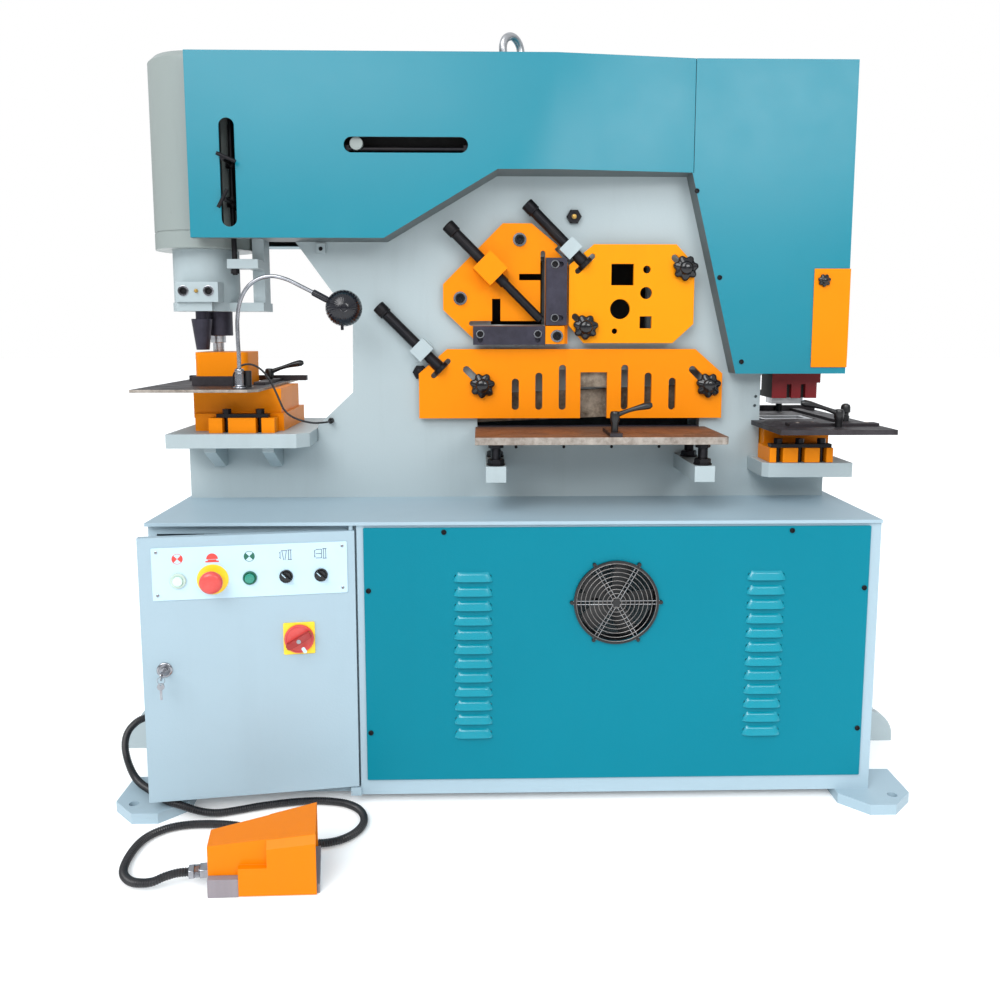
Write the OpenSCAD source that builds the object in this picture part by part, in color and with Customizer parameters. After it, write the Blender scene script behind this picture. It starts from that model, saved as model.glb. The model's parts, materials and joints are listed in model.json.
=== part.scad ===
// Hydraulic ironworker: punch at the left end, angle, bar and flat shears in the middle,
// notcher at the right end, on a sheet base with its electrics and hydraulics inside.
// +X runs to the notching end, -Y faces the operator, z = 0 is the floor.

/* [Frame] */
// Outer face of each frame plate, from the middle plane
plate_face = 65; // [64:0.5:66]
// Thickness of each frame plate
plate_t = 30; // [28:0.5:31]
// Top edge of the frame plates above the floor
frame_top = 1735; // [1725:1:1740]
// Half length over the flared feet
foot_reach = 1035; // [1000:5:1060]

/* [Base] */
// Half length of the cabinet
base_half = 840; // [838:1:850]
// Half depth of the cabinet, from the middle plane
base_deep = 370; // [368:1:372]
// Height of the cabinet's top
base_top = 680; // [676:1:690]
// Thickness of the floor plates, which is the gap under the cabinet
base_low = 25; // [22:1:26]
// Anchor holes, from the middle, along the length
anchor_x = 885; // [880:1:890]
// Anchor holes, from the middle, across the depth
anchor_y = 395; // [390:1:400]
// Radius of each anchor hole
anchor_r = 11; // [9:0.5:13]

/* [Door] */
// Opening angle of the door as it stands
door_ajar = 8; // [4:1:12]
// Width of the door
door_w = 470; // [460:1:472]

/* [Covers] */
// Front face of the left cover
cover_front = -170; // [-175:1:-165]
// Front face of the right cover
cover_step = -128; // [-134:1:-124]
// Back face of the rear cover
cover_back = 150; // [145:1:160]
// Top of the covers
cover_top = 1760; // [1755:1:1765]

/* [Punch] */
// Middle of the punching ram along the length
ram_x = -787; // [-790:1:-784]
// Radius of the punching ram
ram_r = 82; // [78:1:84]
// Radius of the punching cylinder
punch_cyl_r = 122; // [118:1:124]

/* [Shear] */
// Pivot of the beam along the length
pivot_x = -236; // [-240:1:-232]
// Height of the beam's pivot
pivot_z = 1004; // [1000:1:1008]
// Top of the shearing table
shear_z = 863; // [860:1:864]

/* [Hidden] */

grey = [0.74, 0.82, 0.86];
teal = [0.10, 0.60, 0.64];
amber = [0.98, 0.62, 0.08];
black = [0.10, 0.10, 0.11];
steel = [0.66, 0.67, 0.69];
dark_red = [0.45, 0.08, 0.08];
brown_steel = [0.50, 0.40, 0.36];
brass = [0.80, 0.62, 0.25];
white = [0.93, 0.94, 0.94];
red = [0.85, 0.10, 0.12];
green = [0.10, 0.45, 0.25];

round_fn = 48;
fine_fn = 96;
eps = 1;
plate_in = plate_face - plate_t;
diag = 45;
down_right = 90 + diag;

// A box given by its lowest and highest corners
module block(x, y, z) {
    translate([x[0], y[0], z[0]]) cube([x[1] - x[0], y[1] - y[0], z[1] - z[0]]);
}

// An outline in X and Z, from y[0] to y[1]
module slab(points, y) {
    translate([0, y[1], 0]) rotate([90, 0, 0]) linear_extrude(y[1] - y[0]) polygon(points);
}

// A flat outline in X and Y, from z[0] to z[1]
module plan(points, z) {
    translate([0, 0, z[0]]) linear_extrude(z[1] - z[0]) polygon(points);
}

// A round bar along Y
module rod_y(x, z, r, y, fn = round_fn) {
    translate([x, y[1], z]) rotate([90, 0, 0]) cylinder(r = r, h = y[1] - y[0], $fn = fn);
}

// A round bar along Z
module rod_z(x, y, r, z, fn = round_fn) {
    translate([x, y, z[0]]) cylinder(r = r, h = z[1] - z[0], $fn = fn);
}

// A round bar along X
module rod_x(y, z, r, x, fn = round_fn) {
    translate([x[0], y, z]) rotate([0, 90, 0]) cylinder(r = r, h = x[1] - x[0], $fn = fn);
}

// A slot with round ends in an XZ face, from a to b
module slot_y(a, b, r, y) {
    run = norm(b - a);
    turn = atan2(b[1] - a[1], b[0] - a[0]);
    translate([a[0], 0, a[1]]) rotate([0, -turn, 0]) {
        rod_y(0, 0, r, y);
        rod_y(run, 0, r, y);
        block([0, run], y, [-r, r]);
    }
}

// Points of an arc in a plane
function arc(cx, cy, r, a0, a1, n) =
    [for (i = [0:n]) let (a = a0 + (a1 - a0) * i / n) [cx + r * cos(a), cy + r * sin(a)]];

// A socket head screw seen from the front: head proud of y, with its hexagon
module socket_screw(x, z, r, y, proud) {
    hex_share = 0.55;
    grip = 12;
    difference() {
        rod_y(x, z, r, [y - proud, y]);
        rod_y(x, z, r * hex_share, [y - proud - eps, y - proud / 2], 6);
    }
    rod_y(x, z, r * hex_share, [y - eps / 2, y + grip]);
}

// ---- Frame plates ----
plate_left = 830;
plate_right = 815;
foot_r = 70;
toe = 15;
heel = 110;
seat_left = 826;
seat_right = 750;
arm_low = 1372;
throat_left = [[-500, seat_left], [-500, 866], [-408, 953], [-405, 1136], [-546, 1332],
    [-600, arm_low], [-690, arm_low]];
throat_right = [[810, 1500], [810, 1012], [660, 1012], [642, 994], [642, seat_right]];
bridge_left = [530, 560];
bridge_z = 1500;

frame_outline = concat(
    [[-foot_reach, 0]], arc(foot_r - foot_reach, toe, foot_r, 180, 90, 8),
    [[-plate_left - 20, heel], [-plate_left, heel], [-plate_left, seat_left]],
    throat_left, [[-690, frame_top], [bridge_left[0], frame_top], [bridge_left[1], bridge_z]],
    throat_right, [[plate_right, seat_right], [plate_right, heel], [plate_right + 35, heel]],
    arc(foot_reach - foot_r, toe, foot_r, 90, 0, 8), [[foot_reach, 0]]);

flat_window = [-90, 485];
flat_window_z = [835, 1010];
angle_window = [-55, 81.5];
angle_window_z = [1125, 1295];
bar_window = [238, 362];
bar_window_z = [1098, 1285];
beam_pin_r = 25;
guide_x = [-662, -632];
nut_at = [154, 1393];

module frame_plate(y) {
    difference() {
        slab(frame_outline, y);
        rod_z(ram_x, 0, punch_cyl_r, [arm_low - eps, frame_top + eps], fine_fn);
        block(flat_window, [y[0] - eps, y[1] + eps], flat_window_z);
        block(angle_window, [y[0] - eps, y[1] + eps], angle_window_z);
        block(bar_window, [y[0] - eps, y[1] + eps], bar_window_z);
        rod_y(pivot_x, pivot_z, beam_pin_r, [y[0] - eps, y[1] + eps]);
    }
}

// The small tapped holes near the notching throat go into the front plate only
module front_plate() {
    hole_r = 4;
    hole_deep = 15;
    color(grey) difference() {
        frame_plate([-plate_face, -plate_in]);
        for (at = [[631, 940], [629, 916]])
            rod_y(at[0], at[1], hole_r, [-plate_face - eps, hole_deep - plate_face], 16);
    }
}

// The rear plate carries the welded blocks that space the two plates
module rear_plate() {
    gap = [-plate_in, plate_in];
    rod_hole = 33;
    rod_x0 = 700;
    color(grey) {
        frame_plate([plate_in, plate_face]);
        block([-plate_left, -700], gap, [30, 600]);
        block([-plate_left, -520], gap, [600, seat_left]);
        block([-403, -330], gap, [960, 1130]);
        block([-560, 60], gap, [1560, frame_top]);
        block([guide_x[1] + 0.5, -560], gap, [arm_low + 10, frame_top]);
        block([560, 640], gap, [700, 850]);
        block([690, plate_right], gap, [30, 700]);
        difference() {
            block([580, 810], gap, [1460, bridge_z]);
            rod_z(rod_x0, 0, rod_hole, [1450, bridge_z + eps]);
        }
    }
}

// ---- Base ----
sheet = 4;
top_t = 8;
door_hinge = [-378, -363];
door_z = [48, 660];
door_t = 18;
door_edge = 8;
hinge_r = 5;
hinge_low = 44;
bay_front = 350;
split_x = -365;
foot_in = 760;
foot_out = 930;
foot_y = [270, 440];
foot_cut = 55;

module foot_plate(sx, sy) {
    inner = [sx * foot_in, sx * foot_out];
    difference() {
        plan([[inner[0], sy * foot_y[0]], [inner[1], sy * foot_y[0]],
            [inner[1], sy * (foot_y[1] - foot_cut)], [inner[1] - sx * foot_cut, sy * foot_y[1]],
            [inner[0] + sx * foot_cut, sy * foot_y[1]],
            [inner[0], sy * (foot_y[1] - foot_cut)]], [0, base_low]);
        rod_z(sx * anchor_x, sy * anchor_y, anchor_r, [-eps, base_low + eps]);
    }
}

module base_cabinet() {
    inner_x = base_half - sheet;
    lip = 40;
    roof = base_top - top_t;
    door_hole = [[-820, split_x - 15], [65, 650]];
    panel_hole = [[split_x + 35, 800], [85, 650]];
    back_hole = [[-700, 700], [100, 620]];
    notch_z = 112;
    color(grey) {
        difference() {
            union() {
                block([split_x, base_half], [4 - base_deep, base_deep], [base_low, roof]);
                block([-base_half, split_x], [-bay_front, base_deep], [base_low, roof]);
                block([-base_half, base_half], [-base_deep - 2, base_deep], [roof, base_top]);
                rod_z(door_hinge[0], door_hinge[1], hinge_r, [door_z[1] - 14, roof + eps]);
                rod_z(door_hinge[0], door_hinge[1], hinge_r, [hinge_low, door_z[0] + 14]);
                block([door_hinge[0] - 10, split_x + eps], [-base_deep - 2, eps - bay_front],
                    [base_low, hinge_low + eps]);
            }
            block([split_x, inner_x], [8 - base_deep, base_deep - sheet],
                [base_low + sheet, roof]);
            block([-inner_x, split_x - sheet], [sheet - bay_front, base_deep - sheet],
                [base_low + sheet, roof]);
            block([split_x - 2 * sheet, split_x + eps], [-plate_face, base_deep - sheet],
                [base_low + sheet, roof]);
            block([lip - base_half, split_x - sheet], [lip - bay_front, base_deep - lip],
                [base_low - eps, base_low + sheet + eps]);
            block([split_x, base_half - lip], [lip - base_deep, base_deep - lip],
                [base_low - eps, base_low + sheet + eps]);
            block([split_x - 2 * sheet, split_x + eps], [-plate_face, base_deep - lip],
                [base_low - eps, base_low + sheet + eps]);
            block(door_hole[0], [-bay_front - eps, 2 * sheet - bay_front], door_hole[1]);
            block(panel_hole[0], [-base_deep, 12 - base_deep], panel_hole[1]);
            block(back_hole[0], [base_deep - 2 * sheet, base_deep + eps], back_hole[1]);
            block([-plate_left, plate_right], [-plate_face, plate_face],
                [roof - eps, base_top + eps]);
            for (sx = [-1, 1])
                block([sx * (base_half - 22) - 30, sx * (base_half - 22) + 30],
                    [-plate_face, plate_face], [base_low - eps, notch_z]);
        }
        for (sx = [-1, 1], sy = [-1, 1]) foot_plate(sx, sy);
    }
}

panel_x = [-349, 814];
panel_z = [63, 666];
panel_y = [-base_deep - 2, 4 - base_deep];
fan_at = [229, 490];
fan_hole_r = 94;
louver_cols = [-145, 530];
louver_w = 90;
louver_pitch = 34;
louver_rows = 12;
louver_top = 549;

// A pressed louver: a lip that leans out at its lower edge over an open slit
module louver(x, z) {
    proud = 9;
    high = 13;
    wall = 2;
    face = panel_y[0];
    translate([x, 0, z]) rotate([90, 0, 90]) linear_extrude(louver_w)
        polygon([[face + wall, high], [face - proud / 2, high * 0.55], [face - proud, -high * 0.35],
            [face - proud, -high * 0.6], [face - proud + wall, -high * 0.6],
            [face - proud / 2 + wall, high * 0.4], [face + wall, high * 0.7]]);
    for (end = [0, louver_w - wall]) translate([x + end, 0, z]) rotate([90, 0, 90])
        linear_extrude(wall) polygon([[face + wall, high], [face - proud / 2, high * 0.55],
            [face - proud, -high * 0.6], [face + wall, -high * 0.6]]);
}

module front_panel() {
    slit = 8;
    color(teal) {
        difference() {
            block(panel_x, panel_y, panel_z);
            block([panel_x[0] + 2, panel_x[1] - 2], [panel_y[0] + 2, panel_y[1] + eps],
                [panel_z[0] + 2, panel_z[1] - 2]);
            rod_y(fan_at[0], fan_at[1], fan_hole_r, [panel_y[0] - eps, panel_y[1] + eps], fine_fn);
            for (x = louver_cols, i = [0:louver_rows - 1])
                block([x + 2, x + louver_w - 2], [panel_y[0] - eps, panel_y[1]],
                    [louver_top - i * louver_pitch - slit, louver_top - i * louver_pitch + slit]);
        }
        for (x = louver_cols, i = [0:louver_rows - 1]) louver(x, louver_top - i * louver_pitch);
    }
}

module rear_panel() {
    rear_x = 720;
    rear_z = [80, 640];
    slit_w = 160;
    slit_h = 8;
    color(teal) difference() {
        block([-rear_x, rear_x], [base_deep, base_deep + 3], rear_z);
        for (x = [-480, 320], i = [0:7])
            block([x, x + slit_w], [base_deep - eps, base_deep + 4],
                [300 + i * 26, 300 + i * 26 + slit_h]);
    }
}

// ---- Covers ----
skin = 3;
low_left = 1330;
low_mid = 1492;
low_right = 1002;
cover_left = -773;
crease_x = 102;
seam_x = 440;
cover_right = 836;
left_outline = [[cover_left, cover_top], [seam_x, cover_top], [seam_x, low_mid], [-39, low_mid],
    [-313, low_left], [cover_left, low_left]];
left_inner = [[cover_left + skin, cover_top - skin], [seam_x + eps, cover_top - skin],
    [seam_x + eps, low_mid + skin], [-40.5, low_mid + skin], [-314.5, low_left + skin],
    [cover_left + skin, low_left + skin]];
right_outline = [[seam_x + 1, cover_top], [cover_right, cover_top], [cover_right, low_right],
    [558, low_right], [437, low_mid], [seam_x + 1, low_mid]];
right_inner = [[seam_x - 5, cover_top - skin], [cover_right - skin, cover_top - skin],
    [cover_right - skin, low_right + skin], [560.5, low_right + skin], [440.2, low_mid + 4],
    [seam_x - 5, low_mid + 4]];

module left_cover() {
    slot_r = 18;
    trip_slot = [[-679, 1374], [-679, 1589]];
    view_slot = [[-386, 1547], [-128, 1547]];
    eye_hole = 24;
    color(teal) difference() {
        intersection() {
            slab(left_outline, [cover_front, 40]);
            plan([[cover_left, cover_front], [crease_x, cover_front], [seam_x, cover_step],
                [seam_x, 40], [cover_left, 40]], [low_left, cover_top]);
        }
        intersection() {
            slab(left_inner, [cover_front, 40 + eps]);
            plan([[cover_left, cover_front + skin], [crease_x, cover_front + skin],
                [seam_x + eps, cover_step + skin], [seam_x + eps, 40 + eps], [cover_left, 40 + eps]],
                [low_left, cover_top]);
        }
        block([cover_left - eps, seam_x + eps], [-plate_face, 41], [low_left - eps, frame_top + 5]);
        block([cover_left - eps, -655], [-135, 41], [low_left - eps, cover_top - skin]);
        block([cover_left - eps, -612], [-150, 41], [low_left - eps, low_left + 5]);
        rod_z(ram_x, 0, punch_cyl_r + 2, [low_left - eps, cover_top + eps], fine_fn);
        slot_y(trip_slot[0], trip_slot[1], slot_r, [cover_front - eps, cover_front + 5]);
        slot_y(view_slot[0], view_slot[1], slot_r, [cover_front - eps, cover_front + 5]);
        rod_z(0, 0, eye_hole, [frame_top, cover_top + eps]);
    }
}

module right_cover() {
    color(teal) difference() {
        slab(right_outline, [cover_step, 40]);
        slab(right_inner, [cover_step + skin, 41]);
        block([seam_x - 10, 812], [-plate_face, 41], [low_right - eps, cover_top - skin]);
        block([600, 900], [-60, 41], [low_right - eps, low_right + 60]);
    }
}

skirt_low = 800;
rear_outline = [[cover_left, cover_top], [cover_right, cover_top], [cover_right, low_right],
    [558, low_right], [520, skirt_low], [-150, skirt_low], [-313, low_left],
    [cover_left, low_left]];
rear_inner = [[cover_left + skin, cover_top - skin], [cover_right - skin, cover_top - skin],
    [cover_right - skin, low_right + skin], [555.5, low_right + skin],
    [516.5, skirt_low - eps], [-147, skirt_low - eps], [-310.5, low_left + skin],
    [cover_left + skin, low_left + skin]];

module rear_cover() {
    color(teal) difference() {
        slab(rear_outline, [41, cover_back]);
        slab(rear_inner, [40, cover_back - skin]);
        block([-691, 812], [40, plate_face + 0.3], [skirt_low - eps, cover_top - skin]);
        block([cover_left - eps, -655], [40, 135], [low_left - eps, cover_top - skin]);
        rod_z(ram_x, 0, punch_cyl_r + 2, [low_left - eps, cover_top + eps], fine_fn);
    }
}

module side_guard() {
    color(amber) block([747, 838], [cover_step - 3, cover_step], [1018, 1262]);
}

// ---- Hydraulics ----
cyl_low = 1311;
cyl_top = 1776;

module punch_cylinder() {
    seam_z = 1354;
    edge = 14;
    wall = 27;
    color(grey) difference() {
        union() {
            rod_z(ram_x, 0, punch_cyl_r, [seam_z, cyl_top - edge], fine_fn);
            translate([ram_x, 0, cyl_top - edge])
                cylinder(r1 = punch_cyl_r, r2 = punch_cyl_r - edge, h = edge, $fn = fine_fn);
            rod_z(ram_x, 0, punch_cyl_r - 2, [seam_z - 3, seam_z], fine_fn);
            rod_z(ram_x, 0, punch_cyl_r, [cyl_low, seam_z - 3], fine_fn);
        }
        rod_z(ram_x, 0, punch_cyl_r - wall, [seam_z, cyl_top - wall], fine_fn);
        rod_z(ram_x, 0, ram_r + 0.05, [cyl_low - eps, seam_z + eps], fine_fn);
    }
}

shear_cyl_x = 700;
shear_cyl_r = 105;
shear_bore = 82;
rod_r = 30;

module shear_cylinder() {
    low = bridge_z;
    top = frame_top;
    floor_t = 25;
    color(grey) difference() {
        rod_z(shear_cyl_x, 0, shear_cyl_r, [low, top], fine_fn);
        rod_z(shear_cyl_x, 0, shear_bore, [low + floor_t, top - floor_t], fine_fn);
        rod_z(shear_cyl_x, 0, rod_r + 0.05, [low - eps, low + floor_t + eps], fine_fn);
    }
}

// The rod presses on the beam's top and is one turned piece with its piston
module shear_rod() {
    rest_z = 1404;
    piston = [1665, 1700];
    color(steel) {
        rod_z(shear_cyl_x, 0, rod_r, [rest_z, piston[0] + eps], fine_fn);
        rod_z(shear_cyl_x, 0, shear_bore - 0.5, piston, fine_fn);
    }
}

// Tank along the back, motor and pump on its lid, valve block beside them
module hydraulic_unit() {
    tank_x = [-560, 560];
    tank_y = [plate_face, base_deep - sheet];
    tank_z = [base_low + sheet, 330];
    wall = 4;
    motor_x = [-330, -40];
    motor_at = [205, 430];
    motor_r = 85;
    foot_w = 150;
    color(steel) difference() {
        block(tank_x, tank_y, tank_z);
        block([tank_x[0] + wall, tank_x[1] - wall], [tank_y[0] + wall, tank_y[1] - wall],
            [tank_z[0] + wall, tank_z[1] - wall]);
    }
    color(grey) {
        rod_x(motor_at[0], motor_at[1], motor_r, motor_x);
        block([motor_x[0] + 60, motor_x[1] - 60],
            [motor_at[0] - foot_w / 2, motor_at[0] + foot_w / 2], [tank_z[1], motor_at[1]]);
        rod_x(motor_at[0], motor_at[1], motor_r * 0.8, [motor_x[0] - 60, motor_x[0]]);
        block([motor_x[0] + 90, motor_x[1] - 90], [motor_at[0] - 50, motor_at[0] + 50],
            [motor_at[1] + motor_r - 10, motor_at[1] + motor_r + 45]);
        rod_x(motor_at[0], motor_at[1], 55, [motor_x[1], motor_x[1] + 110]);
    }
    color(steel) {
        block([160, 330], [130, 260], [tank_z[1], tank_z[1] + 90]);
        for (i = [0:2]) block([175 + i * 50, 210 + i * 50], [150, 240],
            [tank_z[1] + 90, tank_z[1] + 190]);
        rod_z(430, 205, 45, [tank_z[1], tank_z[1] + 60]);
    }
}

module lifting_eye() {
    ring_r = 33;
    bar_r = 10;
    eye_z = cover_top + 52;
    turn = 45;
    color(steel) {
        translate([0, 0, eye_z]) rotate([0, 0, turn]) rotate([90, 0, 0])
            rotate_extrude($fn = round_fn) translate([ring_r, 0]) circle(r = bar_r, $fn = 24);
        rod_z(0, 0, 13, [frame_top, eye_z - ring_r]);
        rod_z(0, 0, 22, [frame_top, frame_top + 20]);
    }
}

// ---- Punching station ----
shelf_top = 861;

module die_shelves() {
    left_x = [-844, -501];
    right_x = [642.5, 836];
    right_top = 786;
    wing_x = 614;
    wing_cut = 14;
    cut = 28;
    leg_t = 29;
    left_y = 200;
    color(grey) {
        plan([[left_x[0], -left_y], [left_x[1] - cut, -left_y], [left_x[1], cut - left_y],
            [left_x[1], left_y - cut], [left_x[1] - cut, left_y], [left_x[0], left_y]],
            [seat_left, shelf_top]);
        for (x = [-761, -619], s = [-1, 1])
            translate([x, 0, 0]) rotate([90, 0, 90]) linear_extrude(leg_t)
                polygon([[s * plate_face, seat_left], [s * plate_face, 765],
                    [s * (plate_face + 20), 765], [s * 170, seat_left - 14], [s * 170, seat_left]]);
        plan([[wing_x, -200 + wing_cut], [wing_x + wing_cut, -200], [right_x[1], -200],
            [right_x[1], 200], [wing_x + wing_cut, 200], [wing_x, 200 - wing_cut],
            [wing_x, plate_face], [right_x[0], plate_face], [right_x[0], -plate_face],
            [wing_x, -plate_face]], [seat_right, right_top]);
    }
}

die_at = [-770, 20];
die_r = 16;

// Casting with a tower for the die, shoulders for the table and a slotted foot
module punch_die_holder() {
    tower_x = [-805, -672];
    tower_y = [-80, 56];
    tower_z = 1055;
    corner = 18;
    shoulder = [[-797, -580], [-120, 100], [893, 966]];
    foot = [[-792, -572], [-130, 130], [shelf_top, 905]];
    lug = [[-745, -585], [-178, -130], [shelf_top, 898]];
    slot_w = 14;
    color(amber) difference() {
        union() {
            plan(concat(arc(tower_x[0] + corner, tower_y[0] + corner, corner, 180, 270, 6),
                arc(tower_x[1] - corner, tower_y[0] + corner, corner, 270, 360, 6),
                arc(tower_x[1] - corner, tower_y[1] - corner, corner, 0, 90, 6),
                arc(tower_x[0] + corner, tower_y[1] - corner, corner, 90, 180, 6)),
                [shoulder[2][1] - eps, tower_z]);
            block(shoulder[0], shoulder[1], shoulder[2]);
            block(foot[0], foot[1], foot[2]);
            block(lug[0], lug[1], lug[2]);
            block(lug[0], [-lug[1][1], -lug[1][0]], lug[2]);
        }
        rod_z(die_at[0], die_at[1], die_r, [shelf_top - eps, tower_z + eps]);
        for (x = [-712, -631], s = [-1, 1])
            block([x, x + slot_w], [min(s * 180, s * 142), max(s * 180, s * 142)],
                [shelf_top - eps, lug[2][1] + eps]);
    }
}

// Clamp bars across the slotted feet of both die holders, with their bolts
module die_clamps() {
    bolt_r = 11;
    shank_r = 5;
    color(black) {
        for (s = [-1, 1]) {
            y = s < 0 ? [-170, -146] : [146, 170];
            block([-728, -602], y, [898, 907]);
            for (x = [-705, -624]) {
                rod_z(x, s * 158, bolt_r, [907, 919], 6);
                rod_z(x, s * 158, shank_r, [shelf_top, 908]);
            }
        }
        block([634, 784], [-194, -166], [823, 832]);
        for (x = [655, 709, 763]) {
            rod_z(x, -180, bolt_r, [832, 845], 6);
            rod_z(x, -180, shank_r, [notch_seat, 833]);
        }
    }
}

table_z = 973;
table_t = 7;

module punch_table() {
    x = [-900, -605];
    y = 265;
    gap_x = [-812, -664];
    gap_y = 92;
    cut = 22;
    color(black) plan([[x[0], -y], [x[1] - cut, -y], [x[1], cut - y], [x[1], y - cut],
        [x[1] - cut, y], [gap_x[1], y], [gap_x[1], -gap_y], [gap_x[0], -gap_y], [gap_x[0], y],
        [x[0], y]], [table_z - table_t, table_z]);
}

// ---- Notching station ----
notch_z = 880;
notch_seat = 786;

module notch_die_holder() {
    wall = [[645, 812], [-100, 100], [notch_seat, 868]];
    pocket = [[644, 791], [-45, 45]];
    lug = [[630, 788], [-196, -100], [notch_seat, 823]];
    slot_w = 16;
    color(amber) difference() {
        union() {
            block(wall[0], wall[1], wall[2]);
            block(lug[0], lug[1], lug[2]);
        }
        block(pocket[0], pocket[1], [notch_seat - eps, wall[2][1] + eps]);
        for (x = [647, 701, 755])
            block([x, x + slot_w], [lug[1][0] - eps, -132], [notch_seat - eps, lug[2][1] + eps]);
    }
}

module notch_table() {
    x = [655, 892];
    y = 312;
    gap_x = 797;
    gap_y = 50;
    nose = 617;
    clear = 78;
    thick = 12;
    color(black) plan([[nose, -y], [x[1], -y], [x[1], y], [nose, y], [nose, clear], [x[0], clear],
        [x[0], gap_y], [gap_x, gap_y], [gap_x, -gap_y], [x[0], -gap_y], [x[0], -clear],
        [nose, -clear]], [notch_z - thick, notch_z]);
}

// Lower flat blade, the two angle blades and the notching die
module fixed_blades() {
    flat_t = [[-90, 485], [-62, -36], [flat_window_z[0], shear_z + 2]];
    upright = [[82, 134.5], [-112, -87], [1123, 1289]];
    level = [[-100, 80], [-112, -87], [1074, 1121]];
    slot_r = 6.5;
    ring = [[655, 790], [-44.5, 44.5], [notch_seat, notch_z]];
    mouth = [[664, 776], [-29, 29]];
    color(black) {
        block(flat_t[0], flat_t[1], flat_t[2]);
        difference() {
            block(upright[0], upright[1], upright[2]);
            for (z = [1141, 1273]) slot_y([104, z], [119, z], slot_r, [-113, -100]);
        }
        difference() {
            block(level[0], level[1], level[2]);
            for (x = [-82, 62]) slot_y([x, 1086], [x, 1101], slot_r, [-113, -100]);
        }
    }
    color(steel) difference() {
        block(ring[0], ring[1], ring[2]);
        block(mouth[0], mouth[1], [notch_seat - eps, notch_z + eps]);
    }
}

// ---- Shearing table ----
module shear_table() {
    x = [-95, 500];
    y = [-300, -66];
    thick = 18;
    groove = [-258, -250];
    color(brown_steel) difference() {
        plan([[x[0], y[0]], [x[1] - 6, y[0]], [x[1], y[0] + 6], [x[1], y[1]], [x[0], y[1]]],
            [shear_z - thick, shear_z]);
        block([x[0] + 60, x[1] - 50], groove, [shear_z - 5, shear_z + eps]);
    }
}

arm_x = [[-70, -22], [421, 469]];
arm_z = [756, 794];

module table_arms() {
    color(grey) for (x = arm_x) block(x, [-298, -plate_face], arm_z);
}

// ---- Angle shear ----
guard_y = [-87, -75];

module angle_guard() {
    slit = 12;
    through = [guard_y[0] - eps, guard_y[1] + eps];
    color(amber) difference() {
        union() {
            slab([[-25, 1375], [47, 1375], [139, 1299], [139, 1076], [-86, 1076], [-175, 1161],
                [-175, 1225]], guard_y);
            block([81, 129], [-110, guard_y[0] + eps], [1076, 1121]);
            for (at = [[17, 1335], [-132, 1190], [115, 1180]])
                rod_y(at[0], at[1], 20, [guard_y[1] - eps, -plate_face]);
        }
        translate([bar_nut[0], 0, bar_nut[1]]) rotate([0, down_right, 0])
            block([-28, 28], through, [-26, 24]);
        block([16, 75], through, [1235, 1251]);
        block([-52, -31], through, [1125, 1189]);
        block([81.5 - slit, 81.5], through, [1121.5, 1302]);
        rod_y(81.5 - slit / 2, 1302, slit / 2, through);
        block([-104, 75], through, [1121.5, 1121.5 + slit]);
        rod_y(-104, 1121.5 + slit / 2, slit / 2, through);
    }
}

// The three nut blocks stand on the frame or the guard, set along the screws
flat_lug = [-182, 1014];
bar_lug = [180, 1275];
flat_nut = flat_lug + [-47.5, 47.5];
bar_nut = bar_lug + [-37.5, 37.5];
angle_nut = [-57, 1262];
flat_axis = -86.5;
bar_axis = -97;
angle_axis = -115;
spindle_r = 14;
tip_r = 11;
foot_t = 10;
foot_rim = 20;

module nut_block(at, wide, long, y, axis) {
    bore = spindle_r + 0.3;
    translate([at[0], 0, at[1]]) rotate([0, down_right, 0]) difference() {
        block([-wide / 2, wide / 2], y, [-long / 2, long / 2]);
        translate([0, axis, -long]) cylinder(r = bore, h = 2 * long, $fn = round_fn);
    }
}

module screw_blocks() {
    washer_r = 29;
    washer_y = -plate_face - 7;
    color(grey) {
        nut_block(flat_nut, 46, 38, [flat_axis - 21, washer_y + 1], flat_axis);
        nut_block(bar_nut, 44, 36, [bar_axis - 21, washer_y + 1], bar_axis);
        for (at = [flat_nut, bar_nut]) translate([at[0], -plate_face, at[1]]) rotate([90, 0, 0])
            cylinder(r = washer_r, h = -plate_face - washer_y, $fn = 8);
    }
    color(amber) nut_block(angle_nut, 60, 60, [-142, guard_y[0]], angle_axis);
}

// A hand screw pointing down and to the right: its head is back, and its end ahead, of a point
module hand_screw(at, axis, back, ahead) {
    head_r = 16.5;
    head_l = 30;
    translate([at[0], axis, at[1]]) rotate([0, down_right, 0]) translate([0, 0, -back]) {
        cylinder(r = head_r, h = head_l, $fn = round_fn);
        translate([0, 0, head_l - eps])
            cylinder(r = spindle_r, h = back + ahead - head_l + eps, $fn = round_fn);
    }
}

// The turned foot that sits in a guard's T-slot
module screw_foot(at, axis) {
    translate([at[0], axis, at[1]]) rotate([0, down_right, 0])
        translate([0, 0, -foot_t / 2]) cylinder(r = foot_rim, h = foot_t, $fn = round_fn);
}

module flat_screw() {
    color(black) {
        hand_screw(flat_lug, flat_axis, 222, 0);
        screw_foot(flat_lug, flat_axis);
    }
}

module bar_screw() {
    color(black) {
        hand_screw(bar_lug, bar_axis, 208, 0);
        screw_foot(bar_lug, bar_axis);
    }
}

module angle_screw() {
    ahead = 178;
    thick = 52;
    color(black) {
        hand_screw(angle_nut, angle_axis, 150, thick);
        translate([angle_nut[0], angle_axis, angle_nut[1]]) rotate([0, down_right, 0])
            translate([0, 0, thick - eps])
                cylinder(r = tip_r, h = ahead - thick + eps, $fn = round_fn);
    }
}

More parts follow.
